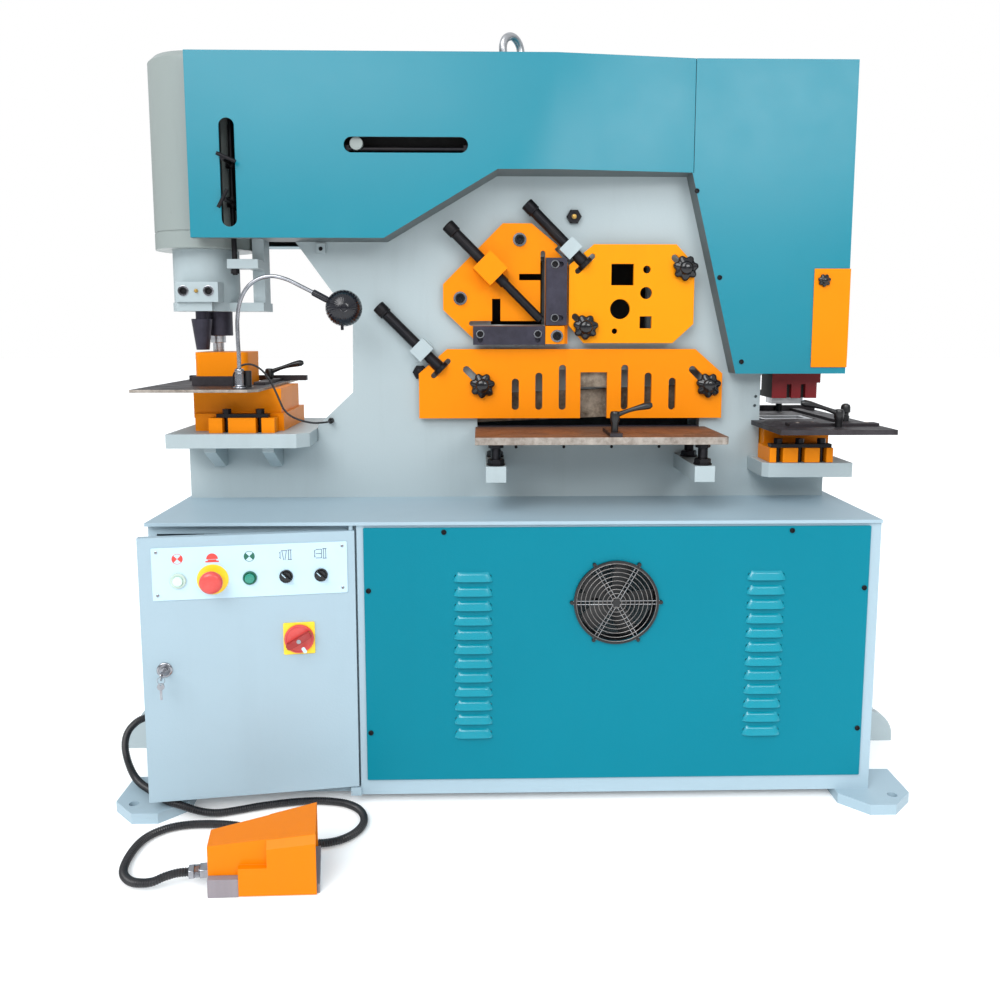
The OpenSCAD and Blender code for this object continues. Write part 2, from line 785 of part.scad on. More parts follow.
// The T-slot in a guard's edge that takes a screw and its foot
module foot_slot(at, y) {
    gap = 1.5;
    end_r = foot_t / 2 + gap;
    span = foot_rim + 6;
    neck = spindle_r + 1;
    translate([at[0], 0, at[1]]) rotate([0, down_right, 0]) {
        block([-span, span], y, [-end_r, end_r]);
        for (s = [-1, 1]) rod_y(s * span, 0, end_r, y);
        block([-neck, neck], y, [-60, 0]);
    }
}

flat_plate_y = [-88, -76];
flat_knobs = [[-77, 971], [499, 971]];
bar_knobs = [[430, 1264], [182, 1118]];

module flat_guard() {
    low = 887;
    window = [173, 241];
    slots = [[7, 988], [67, 1003], [127, 1023], [286, 1023], [346, 1003], [408, 990]];
    slot_r = 9;
    through = [flat_plate_y[0] - eps, flat_plate_y[1] + eps];
    color(amber) difference() {
        slab([[-238, low], [-238, 1001], [-166, 1063], [465, 1063], [536, 1001], [536, low]],
            flat_plate_y);
        foot_slot(flat_lug, through);
        for (s = slots) slot_y([s[0], 917], [s[0], s[1] - slot_r], slot_r, through);
        block(window, through, [low - eps, 1004]);
        for (k = flat_knobs) slot_y(k + [-40, 40], k + [18, -18], slot_r, through);
    }
}

bar_plate_y = [-102, -91];
square_hole = [[246, 302], [1222, 1275]];
round_holes = [[269, 1163, 25], [334, 1203, 15], [335, 1261, 9.5], [256, 1108, 7]];
small_hole = [[319, 349], [1115, 1145]];

module bar_guard() {
    through = [bar_plate_y[0] - eps, bar_plate_y[1] + eps];
    color(amber) difference() {
        slab([[202, 1323], [408, 1323], [455, 1273], [455, 1126], [403, 1078], [178, 1078],
            [140, 1123], [140, 1272]], bar_plate_y);
        foot_slot(bar_lug, through);
        block(square_hole[0], through, square_hole[1]);
        block(small_hole[0], through, small_hole[1]);
        for (h = round_holes) rod_y(h[0], h[1], h[2], through);
        for (k = bar_knobs) slot_y(k + [-26, 26], k + [3, -3], 8, through);
    }
}

// ---- Knobs, gauges and levers ----
module star_knob(x, z, r, y, reach) {
    lobes = 7;
    lobe_r = r * 0.24;
    stud_r = r * 0.22;
    deep = r * 0.75;
    translate([x, y, z]) rotate([90, 0, 0]) {
        linear_extrude(deep * 0.6) {
            circle(r = r * 0.8, $fn = round_fn);
            for (i = [0:lobes - 1]) rotate(i * 360 / lobes + 11) translate([r - lobe_r, 0])
                circle(r = lobe_r, $fn = 24);
        }
        translate([0, 0, deep * 0.3]) cylinder(r = r * 0.5, h = deep * 0.7, $fn = round_fn);
        translate([0, 0, -reach]) cylinder(r = stud_r, h = reach + eps, $fn = round_fn);
    }
}

module star_knobs() {
    color(black) {
        for (at = flat_knobs)
            star_knob(at[0], at[1], 32, flat_plate_y[0] - 0.5,
                -flat_plate_y[0] + 0.5 - plate_face);
        for (at = bar_knobs)
            star_knob(at[0], at[1], 32, bar_plate_y[0] - 0.5, -bar_plate_y[0] + 0.5 - plate_face);
        star_knob(771, 1233, 16, cover_step - 3, 0);
    }
}

// A clamping lever: post, boss and a bent handle pointing along turn
module clamp_lever(x, y, z, post, handle, turn) {
    post_r = 9;
    boss_r = 12;
    color(black) {
        rod_z(x, y, post_r, [z, z + post]);
        rod_z(x, y, boss_r, [z + post - 18, z + post]);
        translate([x, y, z + post - 10]) rotate([0, 0, turn]) rotate([0, -16, 0])
            translate([0, -6, -5]) cube([handle, 12, 10]);
    }
}

module table_gauges() {
    fence = 14;
    color(black) {
        block([-880, -560], [112, 132], [table_z, table_z + fence]);
        block([-655, -625], [-90, 112], [table_z, table_z + fence / 2]);
        block([665, 885], [-228, -196], [notch_z, notch_z + fence / 2]);
        block([665, 885], [196, 221], [notch_z, notch_z + fence]);
        block([812, 836], [-190, 190], [notch_z, notch_z + fence / 2]);
    }
    clamp_lever(-640, 60, table_z + fence / 2, 24, 95, 0);
    clamp_lever(772, -255, notch_z, 42, 95, 180);
    clamp_lever(772, 172, notch_z, 46, 60, 180);
    color(black) rod_z(824, -170, 10, [notch_z + fence / 2, notch_z + 50]);
    color(black) {
        block([220, 250], [-298, -168], [shear_z, shear_z + 9]);
        clamp_lever(236, -262, shear_z + 9, 48, 88, 0);
    }
}

// ---- Lamp ----
lamp_at = [-660, -200];
neck_route = [[-660, 1010], [-660, 1050], [-661, 1095], [-660, 1140], [-652, 1180], [-634, 1212],
    [-606, 1232], [-574, 1238], [-540, 1230], [-505, 1213], [-470, 1195], [-446, 1181]];
// Smooth route: Catmull-Rom between the points that are given
function spline(p, i, t) =
    let (n = len(p) - 1, a = p[max(i - 1, 0)], b = p[i], c = p[min(i + 1, n)],
        d = p[min(i + 2, n)])
    0.5 * ((2 * b) + (c - a) * t + (2 * a - 5 * b + 4 * c - d) * t * t
        + (3 * b - a - 3 * c + d) * t * t * t);
function route_points(p, k) = [for (i = [0:len(p) - 2], j = [0:k - 1]) spline(p, i, j / k),
    p[len(p) - 1]];

// Sweep a round section along points, keeping each ring square to its run
module sweep(points, r, sides) {
    last = len(points) - 1;
    function along(i) = let (v = points[min(i + 1, last)] - points[max(i - 1, 0)]) v / norm(v);
    function side_of(d) = let (s = cross(d, abs(d[2]) > 0.9 ? [0, 1, 0] : [0, 0, 1])) s / norm(s);
    sides_at = [for (i = 0, s = side_of(along(0)); i <= last;
        i = i + 1, s = i > last ? s : let (d = along(i), f = s - d * (s * d)) f / norm(f)) s];
    rings = [for (i = [0:last]) let (d = along(i), s = sides_at[i], u = cross(d, s))
        [for (k = [0:sides - 1]) let (a = 360 * k / sides)
            points[i] + r * (cos(a) * s + sin(a) * u)]];
    polyhedron(points = [for (ring = rings, q = ring) q],
        faces = concat([[for (k = [0:sides - 1]) k]],
            [for (i = [0:last - 1], k = [0:sides - 1])
                [i * sides + k, (i + 1) * sides + (k + 1) % sides, i * sides + (k + 1) % sides]],
            [for (i = [0:last - 1], k = [0:sides - 1])
                [i * sides + k, (i + 1) * sides + k, (i + 1) * sides + (k + 1) % sides]],
            [[for (k = [0:sides - 1]) last * sides + sides - 1 - k]]));
}

module lamp_neck() {
    neck_r = 5;
    color(steel) {
        sweep(route_points([for (q = neck_route) [q[0], lamp_at[1], q[1]]], 3), neck_r, 12);
        rod_z(lamp_at[0], lamp_at[1], 17, [table_z, table_z + 8]);
        rod_z(lamp_at[0], lamp_at[1], 11, [table_z, table_z + 46]);
    }
}

module lamp_head() {
    centre = [-409, -186, 1163];
    shade = [[40, 0], [43.5, 0], [43.5, 14], [39, 32], [27, 46], [11, 53], [0, 54], [0, 50],
        [10, 49], [24.5, 42.5], [35.5, 30], [40, 13]];
    color(black) {
        translate(centre) rotate([90, 0, 8]) rotate_extrude($fn = round_fn) polygon(shade);
        translate([-480, lamp_at[1], 1200.5]) rotate([0, 118, 0])
            cylinder(r = 8, h = 40, $fn = round_fn);
        rod_z(-411, -206, 3.5, [1111, 1126]);
    }
}

cable_route = [[-690, -150, 973], [-690, -150, 988], [-686, -151, 1004], [-676, -152, 1018],
    [-660, -154, 1027], [-640, -156, 1027], [-622, -157, 1018], [-607, -158, 1003],
    [-595, -158, 984], [-585, -157, 962], [-576, -155, 939], [-567, -152, 917],
    [-550, -151, 900], [-525, -145, 888], [-499, -133, 881], [-479, -117, 880],
    [-468, -98, 880], [-465, -79, 880]];

module lamp_cable() {
    color(black) sweep(route_points(cable_route, 4), 2.5, 8);
}

// ---- Foot switch and its hose ----
pedal_at = [-630, -668];
pedal_turn = 9;
pedal_len = 212;
half_back = 46;
half_front = 75;
hood_low = 100;
hood_high = 122;
hood_ridge = 116;
pedal_deck = 38;
hood_inset = 15;

module at_pedal() {
    translate([pedal_at[0], pedal_at[1], 0]) rotate([0, 0, pedal_turn]) children();
}

function taper(x) = half_back + (half_front - half_back) * x / pedal_len;
function crest(x) = hood_low + (hood_high - hood_low) * x / pedal_len;

module pedal_base() {
    step = 60;
    inset = 7;
    thick = 20;
    color(steel) at_pedal() plan([[0, -half_back], [step, -taper(step)],
        [step, inset - taper(step)], [pedal_len + 6, inset - half_front],
        [pedal_len + 6, half_front - inset], [step, taper(step) - inset], [step, taper(step)],
        [0, half_back]], [0, thick]);
    color(steel) at_pedal() plan([[0, -half_back], [step, -taper(step)], [step, taper(step)],
        [0, half_back]], [thick - eps, pedal_deck]);
}

// Outline from one place along the hood to its wide end, set in from the full width
module hood_plan(from, inset, to, z) {
    plan([[from, inset - taper(from)], [to, inset - taper(to)], [to, taper(to) - inset],
        [from, taper(from) - inset]], z);
}

// Everything below the sloping top, less a drop
module under_crest(drop) {
    slab([[-1, 0], [pedal_len + 1, 0], [pedal_len + 1, crest(pedal_len + 1) - drop],
        [-1, crest(-1) - drop]], [-half_front - 1, half_front + 1]);
}

// Die-cast hood, open at its wide end: a narrow top, full width past the ridge, with its
// walls down to the floor past the step
module pedal_hood() {
    step = 60;
    wall = 5;
    roof = 4;
    floor_gap = 2;
    base_t = 20;
    skirt_top = 60;
    slope = atan((hood_high - hood_low) / pedal_len);
    flare = atan((half_front - half_back) / pedal_len);
    color(amber) at_pedal() difference() {
        intersection() {
            hood_plan(0, 0, pedal_len, [floor_gap, hood_high + 1]);
            under_crest(0);
        }
        block([-1, step], [-half_front, half_front], [0, pedal_deck]);
        for (s = [-1, 1]) {
            intersection() {
                plan([[-2, s * (taper(-2) - hood_inset)],
                    [hood_ridge + 2, s * (taper(hood_ridge + 2) - hood_inset)],
                    [hood_ridge + 2, s * 90], [-2, s * 90]], [0, hood_high + 2]);
                slab([[-1, 0], [step, 0], [step, skirt_top], [hood_ridge, skirt_top],
                    [hood_ridge, hood_high + 1], [-1, hood_high + 1]], [-95, 95]);
            }
            translate([hood_ridge, s * taper(hood_ridge), crest(hood_ridge) - 13.5])
                rotate([0, -slope, 0]) rotate([0, 0, s * flare]) rotate([-s * 45, 0, 0])
                    block([-10, 130], [-60, 60], [0, 60]);
        }
        intersection() {
            hood_plan(step + wall, hood_inset + wall, pedal_len + eps, [0, hood_high]);
            under_crest(roof);
        }
        intersection() {
            hood_plan(step + wall, wall, pedal_len + eps, [-1, hood_high]);
            slab([[0, 0], [pedal_len + 2, 0], [pedal_len + 2, crest(pedal_len) - 20],
                [hood_ridge + wall, crest(hood_ridge) - 20],
                [hood_ridge + wall, skirt_top - wall], [0, skirt_top - wall]], [-90, 90]);
        }
        plan([[step - eps, 6.5 - taper(step)], [step + wall + eps, 6.5 - taper(step + wall)],
            [step + wall + eps, taper(step + wall) - 6.5], [step - eps, taper(step) - 6.5]],
            [0, base_t]);
    }
}

tread_x = 76;
tread_z = 34;

module pedal_tread() {
    reach = 122;
    rise = 14;
    thick = 7;
    half = 42;
    color(black) at_pedal() {
        translate([tread_x, 0, tread_z]) rotate([0, -rise, 0]) {
            block([0, reach], [-half, half], [-1, thick - 1]);
            for (i = [0:5]) block([20 + i * 17, 26 + i * 17], [-half + 6, half - 6],
                [thick - 2, thick + 1]);
        }
        translate([tread_x, half + 2, tread_z]) rotate([90, 0, 0])
            cylinder(r = 6, h = 2 * half + 4, $fn = round_fn);
    }
}

hose_r = 9;
hose_route = [[-866, -270, 180], [-880, -270, 180], [-913, -270, 170], [-940, -270, 143],
    [-950, -270, 108], [-943, -277, 72], [-923, -296, 45], [-897, -321, 35], [-867, -349, 35],
    [-836, -378, 35], [-803, -404, 35], [-766, -420, 32], [-728, -424, 21], [-690, -417, 12],
    [-648, -403, 10], [-605, -388, 10], [-560, -376, 10], [-515, -368, 10], [-472, -365, 10],
    [-434, -369, 10], [-398, -380, 10], [-368, -403, 10], [-351, -436, 10], [-349, -473, 10],
    [-364, -507, 10], [-391, -531, 10], [-427, -542, 10], [-468, -538, 10], [-510, -522, 10],
    [-550, -502, 10], [-592, -482, 10], [-640, -466, 10], [-690, -460, 10], [-740, -462, 10],
    [-782, -476, 10], [-813, -507, 10], [-825, -550, 10], [-824, -606, 10], [-812, -646, 10],
    [-783, -675, 12], [-744, -686, 18], [-717, -682, 27], [-693, -678, 32], [-669.5, -674.3, 32]];

module foot_hose() {
    color(black) sweep(route_points(hose_route, 2), hose_r, 10);
}

module gland(length, r) {
    cylinder(r = r, h = length * 0.45, $fn = 6);
    translate([0, 0, length * 0.45 - eps])
        cylinder(r = r * 0.8, h = length * 0.3 + eps, $fn = round_fn);
    translate([0, 0, length * 0.75 - eps]) cylinder(r = r * 0.94, h = length * 0.25 + eps, $fn = 6);
}

module cable_glands() {
    hose_gland_r = 16;
    color(steel) {
        translate([-base_half, -270, 180]) rotate([0, -90, 0]) gland(26, hose_gland_r);
        at_pedal() translate([0, 0, 32]) rotate([0, -90, 0]) gland(40, hose_gland_r);
        translate([-465, -plate_face, 880]) rotate([90, 0, 0]) gland(14, 8);
    }
}

// ---- Fan and electrics ----
module fan_guard() {
    rings = 9;
    ring_step = 10;
    wire = 2.2;
    spokes = 6;
    guard_y = [panel_y[0] - 8, panel_y[0] - 5];
    color(black) {
        translate([fan_at[0], guard_y[1], fan_at[1]]) rotate([90, 0, 0])
            linear_extrude(guard_y[1] - guard_y[0]) {
                for (i = [1:rings]) difference() {
                    circle(r = i * ring_step + 2, $fn = fine_fn);
                    circle(r = i * ring_step + 2 - wire, $fn = fine_fn);
                }
                difference() {
                    circle(r = 98, $fn = fine_fn);
                    circle(r = 94, $fn = fine_fn);
                }
                circle(r = 9, $fn = round_fn);
                for (i = [0:spokes - 1], side = [-4, 4]) rotate(i * 360 / spokes)
                    translate([6, side - wire / 2]) square([rings * ring_step, wire]);
            }
        for (i = [0:spokes - 1]) translate([fan_at[0], 0, fan_at[1]])
            rotate([0, i * 360 / spokes, 0]) block([94, 108], [panel_y[0] - 8, panel_y[0]], [-5, 5]);
        difference() {
            rod_y(fan_at[0], fan_at[1], 108, [4 - base_deep, 50 - base_deep], fine_fn);
            rod_y(fan_at[0], fan_at[1], fan_hole_r, [3 - base_deep, 51 - base_deep], fine_fn);
        }
        block([fan_at[0] - 100, fan_at[0] + 100], [44 - base_deep, 49 - base_deep],
            [fan_at[1] - 9, fan_at[1] + 9]);
        rod_y(fan_at[0], fan_at[1], 26, [28 - base_deep, 46 - base_deep]);
    }
}

module fan_rotor() {
    blades = 5;
    blade_r = 88;
    hub_r = 28;
    pitch = 28;
    y = [8 - base_deep, 27.6 - base_deep];
    color(black) {
        rod_y(fan_at[0], fan_at[1], hub_r, y);
        for (i = [0:blades - 1]) translate([fan_at[0], (y[0] + y[1]) / 2, fan_at[1]])
            rotate([0, i * 360 / blades, 0]) rotate([pitch, 0, 0])
                translate([hub_r - 4, -1, -16]) cube([blade_r - hub_r, 2, 32]);
    }
}

// Mounting plate with a transformer, contactors, relays and terminal rails
module electrics_panel() {
    plate_x = [-800, -410];
    face = -112;
    color(steel) {
        block(plate_x, [face, face + 3], [110, 610]);
        for (x = [-770, -440]) block([x, x + 20], [face + 3, -plate_face], [150, 180]);
    }
    color(white) {
        for (i = [0:3]) block([-780 + i * 62, -728 + i * 62], [face - 75, face], [430, 510]);
        for (i = [0:5]) block([-780 + i * 32, -754 + i * 32], [face - 60, face], [540, 600]);
        for (z = [320, 370]) block([-780, -450], [face - 30, face], [z, z + 22]);
    }
    color(black) {
        block([-780, -660], [face - 95, face], [140, 250]);
        for (i = [0:2]) block([-620 + i * 55, -575 + i * 55], [face - 70, face], [150, 240]);
    }
}

// ---- Punching ram and trip gear ----
lug_top = 1180;
flange_low = 1158;

module punch_ram() {
    ram_top = 1640;
    piston_r = punch_cyl_r - 27.5;
    lug_x = [-834, -748];
    block_x = [-833, -729];
    screw_z = 1207;
    color(grey) {
        rod_z(ram_x, 0, ram_r, [flange_low, ram_top], fine_fn);
        rod_z(ram_x, 0, piston_r, [ram_top - 60, ram_top], fine_fn);
        rod_z(ram_x, 0, ram_r + 3, [flange_low, lug_top], fine_fn);
        block(lug_x, [-102, -40], [flange_low, lug_top]);
        block([-787, -632], [-50, 50], [flange_low, lug_top]);
        block(guide_x, [-30, 30], [flange_low, 1500]);
    }
    color(grey) difference() {
        block(block_x, [-112, -60], [lug_top, 1229]);
        rod_z(ram_x, 0, ram_r, [lug_top - eps, 1230], fine_fn);
    }
    color(black) for (x = [-814, -752]) socket_screw(x, screw_z, 11, -112, 4);
    color(brass) rod_y(-782, screw_z, 4, [-120, -112]);
}

// Coupling nut, punch and the tapered holder of the second punch
module punch_tooling() {
    cone_at = [-789, -52];
    color(black) {
        rod_z(die_at[0], die_at[1], 38, [1096, flange_low], fine_fn);
        rod_z(cone_at[0], cone_at[1], 15, [1138, flange_low]);
        translate([cone_at[0], cone_at[1], 1061])
            cylinder(r1 = 16, r2 = 26, h = 78, $fn = round_fn);
    }
    color(steel) {
        rod_z(die_at[0], die_at[1], 14, [1046, 1097]);
        rod_z(die_at[0], die_at[1], 19, [1078, 1097]);
    }
}

trip_x = -687;
trip_y = -105;
trip_r = 6.5;

module trip_rod() {
    bracket_z = [1261, 1284];
    color(grey) difference() {
        union() {
            block([-703, -627], [-118, -66], bracket_z);
            block(guide_x, [-67, -30], bracket_z);
        }
        rod_z(trip_x, trip_y, trip_r, [bracket_z[0] - eps, bracket_z[1] + eps]);
        rod_z(ram_x, 0, punch_cyl_r + 2, [bracket_z[0] - eps, bracket_z[1] + eps], fine_fn);
    }
    color(black) {
        rod_z(trip_x, trip_y, trip_r, [1246, 1640]);
        rod_z(trip_x, trip_y, 11, [bracket_z[0] - 12, bracket_z[0]], 6);
    }
}

// A collar on the rod with a tommy screw that stands out through the slot
module trip_collar(z, lean, slid) {
    collar_r = 14;
    reach = cover_front - 14;
    bar_l = 48;
    color(black) {
        difference() {
            rod_z(trip_x, trip_y, collar_r, [z - 12, z + 12]);
            rod_z(trip_x, trip_y, trip_r + 0.05, [z - 13, z + 13]);
        }
        rod_y(trip_x, z, 6, [reach, trip_y - collar_r + 3]);
        translate([trip_x + slid, reach, z]) rotate([0, lean, 0])
            rod_x(0, 0, 4.5, [-bar_l / 2, bar_l / 2]);
    }
}

module trip_collar_upper() {
    trip_collar(1514, 24, 9);
}

module trip_collar_lower() {
    trip_collar(1420, -62, -2);
}

// ---- Beam ----
beam_half = 30;

module shear_beam() {
    y = [-beam_half, beam_half];
    bore = beam_pin_r + 0.05;
    blade_t = 14;
    color(grey) difference() {
        slab(concat(arc(pivot_x, pivot_z, 70, 140, 255, 10),
            [[-95, 925], [485, 955], [600, 985], [662, 1004], [804, 1004], [804, 1150],
            [764, 1400], [560, 1400], [200, 1372], [-72, 1318], [-200, 1150]]), y);
        rod_y(pivot_x, pivot_z, bore, [y[0] - eps, y[1] + eps]);
        block([-60, 95], [y[0] - eps, y[1] + eps], [1110, 1286]);
        block([232, 370], [y[0] - eps, y[1] + eps], [1085, 1292]);
    }
    color(steel) slab([[-92, 871], [485, 895], [485, 970], [-80, 945]],
        [y[0] - 4, y[0] + blade_t]);
}

// Holder under the beam's nose, with the notching punch below it
module notch_punch() {
    crown = [[679, 806], [-45, 45], [974, 1004]];
    holder = [[702, 797], [-45, 45], [934, 975]];
    shoe = [[679, 702.1], [-45, 45], [934, 975]];
    punch = [[686, 768], [-26, 26], [918, 935]];
    slot_w = 12;
    color(dark_red) difference() {
        union() {
            block(crown[0], crown[1], crown[2]);
            block(holder[0], holder[1], holder[2]);
        }
        for (x = [718, 755]) block([x, x + slot_w], [holder[1][0] - eps, 14 + holder[1][0]],
            [holder[2][0] - eps, holder[2][0] + 36]);
    }
    color(black) block(shoe[0], shoe[1], shoe[2]);
    color(steel) block(punch[0], punch[1], punch[2]);
}

// ---- Door ----
switch_at = [-128, 416];
button_z = 562;
white_x = -386;
stop_x = -312;
green_x = -232;
select_x = [-153, -76];
button_r = 11;
shaft_r = 8;
fit_gap = 0.3;
lock_at = [-423, 359];

module at_door() {
    translate([door_hinge[0], door_hinge[1], 0]) rotate([0, 0, door_ajar])
        translate([door_edge, -door_t / 2, 0]) children();
}

// Holes that the controls need through the door's skin and the plates on it
module control_holes(y) {
    for (x = [white_x, green_x]) rod_y(x, button_z, button_r + fit_gap, y);
    for (x = [stop_x, select_x[0], select_x[1]]) rod_y(x, button_z, shaft_r + fit_gap, y);
    rod_y(switch_at[0], switch_at[1], shaft_r + fit_gap, y);
    rod_y(lock_at[0], lock_at[1], shaft_r + fit_gap, y);
}

module door() {
    skin_t = 2;
    stile = 2 * door_edge;
    color(grey) at_door() difference() {
        block([-door_w, 0], [0, door_t], door_z);
        block([skin_t - door_w, -stile], [skin_t, door_t + eps],
            [door_z[0] + skin_t, door_z[1] - skin_t]);
        rod_z(-door_edge, door_t / 2, hinge_r + 0.05, [door_z[0] - eps, door_z[1] + eps]);
        control_holes([-eps, skin_t + eps]);
    }
}

module door_plates() {
    plate_x = [-441, -17];
    plate_z = [518, 637];
    ring_r = 17;
    color(white) at_door() difference() {
        block(plate_x, [-2, 0], plate_z);
        control_holes([-3, 1]);
    }
    color(steel) at_door() for (x = [white_x, green_x, select_x[0], select_x[1]]) difference() {
        rod_y(x, button_z, ring_r, [-7, -2]);
        rod_y(x, button_z, button_r + fit_gap, [-8, -1]);
    }
    color(amber) at_door() {
        difference() {
            rod_y(stop_x, button_z, 34, [-4, -2]);
            rod_y(stop_x, button_z, shaft_r + fit_gap, [-5, -1]);
        }
        difference() {
            block([-163, -93], [-3, 0], [379, 453]);
            rod_y(switch_at[0], switch_at[1], shaft_r + fit_gap, [-4, 1]);
        }
    }
    color(steel) at_door() difference() {
        rod_y(lock_at[0], lock_at[1], 17, [-5, 0]);
        rod_y(lock_at[0], lock_at[1], shaft_r + fit_gap, [-6, 1]);
    }
}

// Barrel and cam with the key left in it
module door_lock() {
    color(steel) at_door() {
        rod_y(lock_at[0], lock_at[1], shaft_r, [-9, 14]);
        block([lock_at[0] - 9, lock_at[0] + 9], [9, 12], [lock_at[1] - 40, lock_at[1] + 10]);
        block([lock_at[0] - 1.5, lock_at[0] + 1.5], [-30, -8], [lock_at[1] - 4, lock_at[1] + 4]);
        rod_x(-38, lock_at[1], 11, [lock_at[0] - 1.5, lock_at[0] + 1.5], 24);
    }
}

module push_button(x, tone) {
    color(tone) at_door() rod_y(x, button_z, button_r, [-12, 7]);
}

module white_button() {
    push_button(white_x, white);
}

module green_button() {
    push_button(green_x, green);
}

module stop_button() {
    cap_r = 25;
    color(red) at_door() {
        rod_y(stop_x, button_z, shaft_r, [-25, 8]);
        rod_y(stop_x, button_z, cap_r, [-38, -25]);
        rod_y(stop_x, button_z, cap_r - 6, [-41, -37]);
    }
}

module selector(x) {
    color(black) at_door() {
        rod_y(x, button_z, shaft_r, [-3, 8]);
        rod_y(x, button_z, button_r - 0.2, [-10, -2.3]);
        translate([x, 0, button_z]) rotate([0, -45, 0]) block([-3, 3], [-18, -9], [-13, 13]);
    }
}

module selector_left() {
    selector(select_x[0]);
}

module selector_right() {
    selector(select_x[1]);
}

module main_switch() {
    dial_r = 33;
    color(red) at_door() {
        rod_y(switch_at[0], switch_at[1], shaft_r, [-4, 8]);
        rod_y(switch_at[0], switch_at[1], dial_r, [-10, -3.4]);
        translate([switch_at[0], 0, switch_at[1]]) rotate([0, 60, 0])
            block([-7, 7], [-26, -9], [-dial_r + 2, dial_r - 2]);
    }
}

// ---- Fasteners and pins ----
module washer(x, z, r, hole, y) {
    difference() {
        rod_y(x, z, r, y);
        rod_y(x, z, hole, [y[0] - eps, y[1] + eps]);
    }
}

module pins_and_screws() {
    face = -plate_face;
    washer_t = 2.5;
    color(steel) rod_y(pivot_x, pivot_z, beam_pin_r, [-plate_face, plate_face], fine_fn);
    color(black) {
        for (s = [-1, 1]) rod_y(pivot_x, pivot_z, 19,
            s < 0 ? [face - 10, face] : [plate_face, plate_face + 10], 6);
        rod_y(nut_at[0], nut_at[1], 19, [face - 13, face], 6);
        for (at = [[17, 1335], [-132, 1190]])
            socket_screw(at[0], at[1], 12, guard_y[0] - washer_t, 10);
        socket_screw(110, 1096, 11, -110 - washer_t, 9);
        for (at = [[104, 1141], [104, 1273], [-82, 1101], [62, 1101]])
            socket_screw(at[0], at[1], 7.5, -112 - washer_t, 6);
        for (x = arm_x, y = [-272, -130]) {
            mid = (x[0] + x[1]) / 2;
            rod_z(mid, y, 12, [arm_z[1] - 8, shear_z - 18]);
            rod_z(mid, y, 20, [arm_z[1], arm_z[1] + 15], 6);
            rod_z(mid, y, 18, [shear_z - 28, shear_z - 18]);
        }
        for (at = [[-166, 656], [631, 656], [-339, 520], [-339, 180], [804, 520], [804, 180]])
            socket_screw(at[0], at[1], 6, panel_y[0], 3);
        for (at = [[449, 1449], [511, 1240], [572, 1032]])
            socket_screw(at[0], at[1], 6, cover_step, 3);
        for (x = [-700, 0, 700], z = [95, 625])
            rod_y(x, z, 6, [base_deep + 3, base_deep + 7]);
    }
    color(brass) rod_y(nut_at[0], nut_at[1], 5, [face - 21, face - 13], 16);
    color(steel) {
        for (at = [[17, 1335], [-132, 1190]])
            washer(at[0], at[1], 16, 6.5, [guard_y[0] - washer_t, guard_y[0]]);
        washer(110, 1096, 15, 6.5, [-110 - washer_t, -110]);
        for (at = [[104, 1141], [104, 1273], [-82, 1101], [62, 1101]])
            washer(at[0], at[1], 10.5, 4.5, [-112 - washer_t, -112]);
    }
    color(grey) block([-493, -469], [face - 6, face], [1302, 1327]);
    color(black) {
        socket_screw(-481, 1313, 5, face - 6, 3);
        for (x = [10, 134, 258, 382]) socket_screw(x, 810, 4, face, 2);
    }
    color(black) rod_x(-146, 1540, 7, [-410, -105]);
    for (x = [-400, -115]) color(black) block([x - 6, x + 6], [-153, face], [1530, 1550]);
    color(white) rod_y(-376, 1552, 16, [-160, -148]);
}

front_plate();
rear_plate();
base_cabinet();
front_panel();
rear_panel();
left_cover();
right_cover();
rear_cover();
side_guard();
punch_cylinder();
shear_cylinder();
lifting_eye();
die_shelves();
punch_die_holder();
notch_die_holder();
die_clamps();
punch_table();
notch_table();
lamp_neck();
lamp_head();
lamp_cable();
shear_table();
table_arms();
fixed_blades();
angle_guard();
screw_blocks();
hydraulic_unit();
fan_guard();
electrics_panel();
pins_and_screws();
foot_hose();
cable_glands();
pedal_base();
pedal_hood();
table_gauges();
star_knobs();
punch_ram();
punch_tooling();
trip_rod();
trip_collar_upper();
trip_collar_lower();
shear_beam();
notch_punch();
shear_rod();
flat_guard();
flat_screw();
bar_guard();
bar_screw();
angle_screw();
door();
door_plates();
door_lock();
white_button();
green_button();
stop_button();
selector_left();
selector_right();
main_switch();
fan_rotor();
pedal_tread();
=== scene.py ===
import json
from math import atan2, cos, degrees, hypot, pi, radians, sin
import bmesh
import bpy
from mathutils import Matrix, Vector

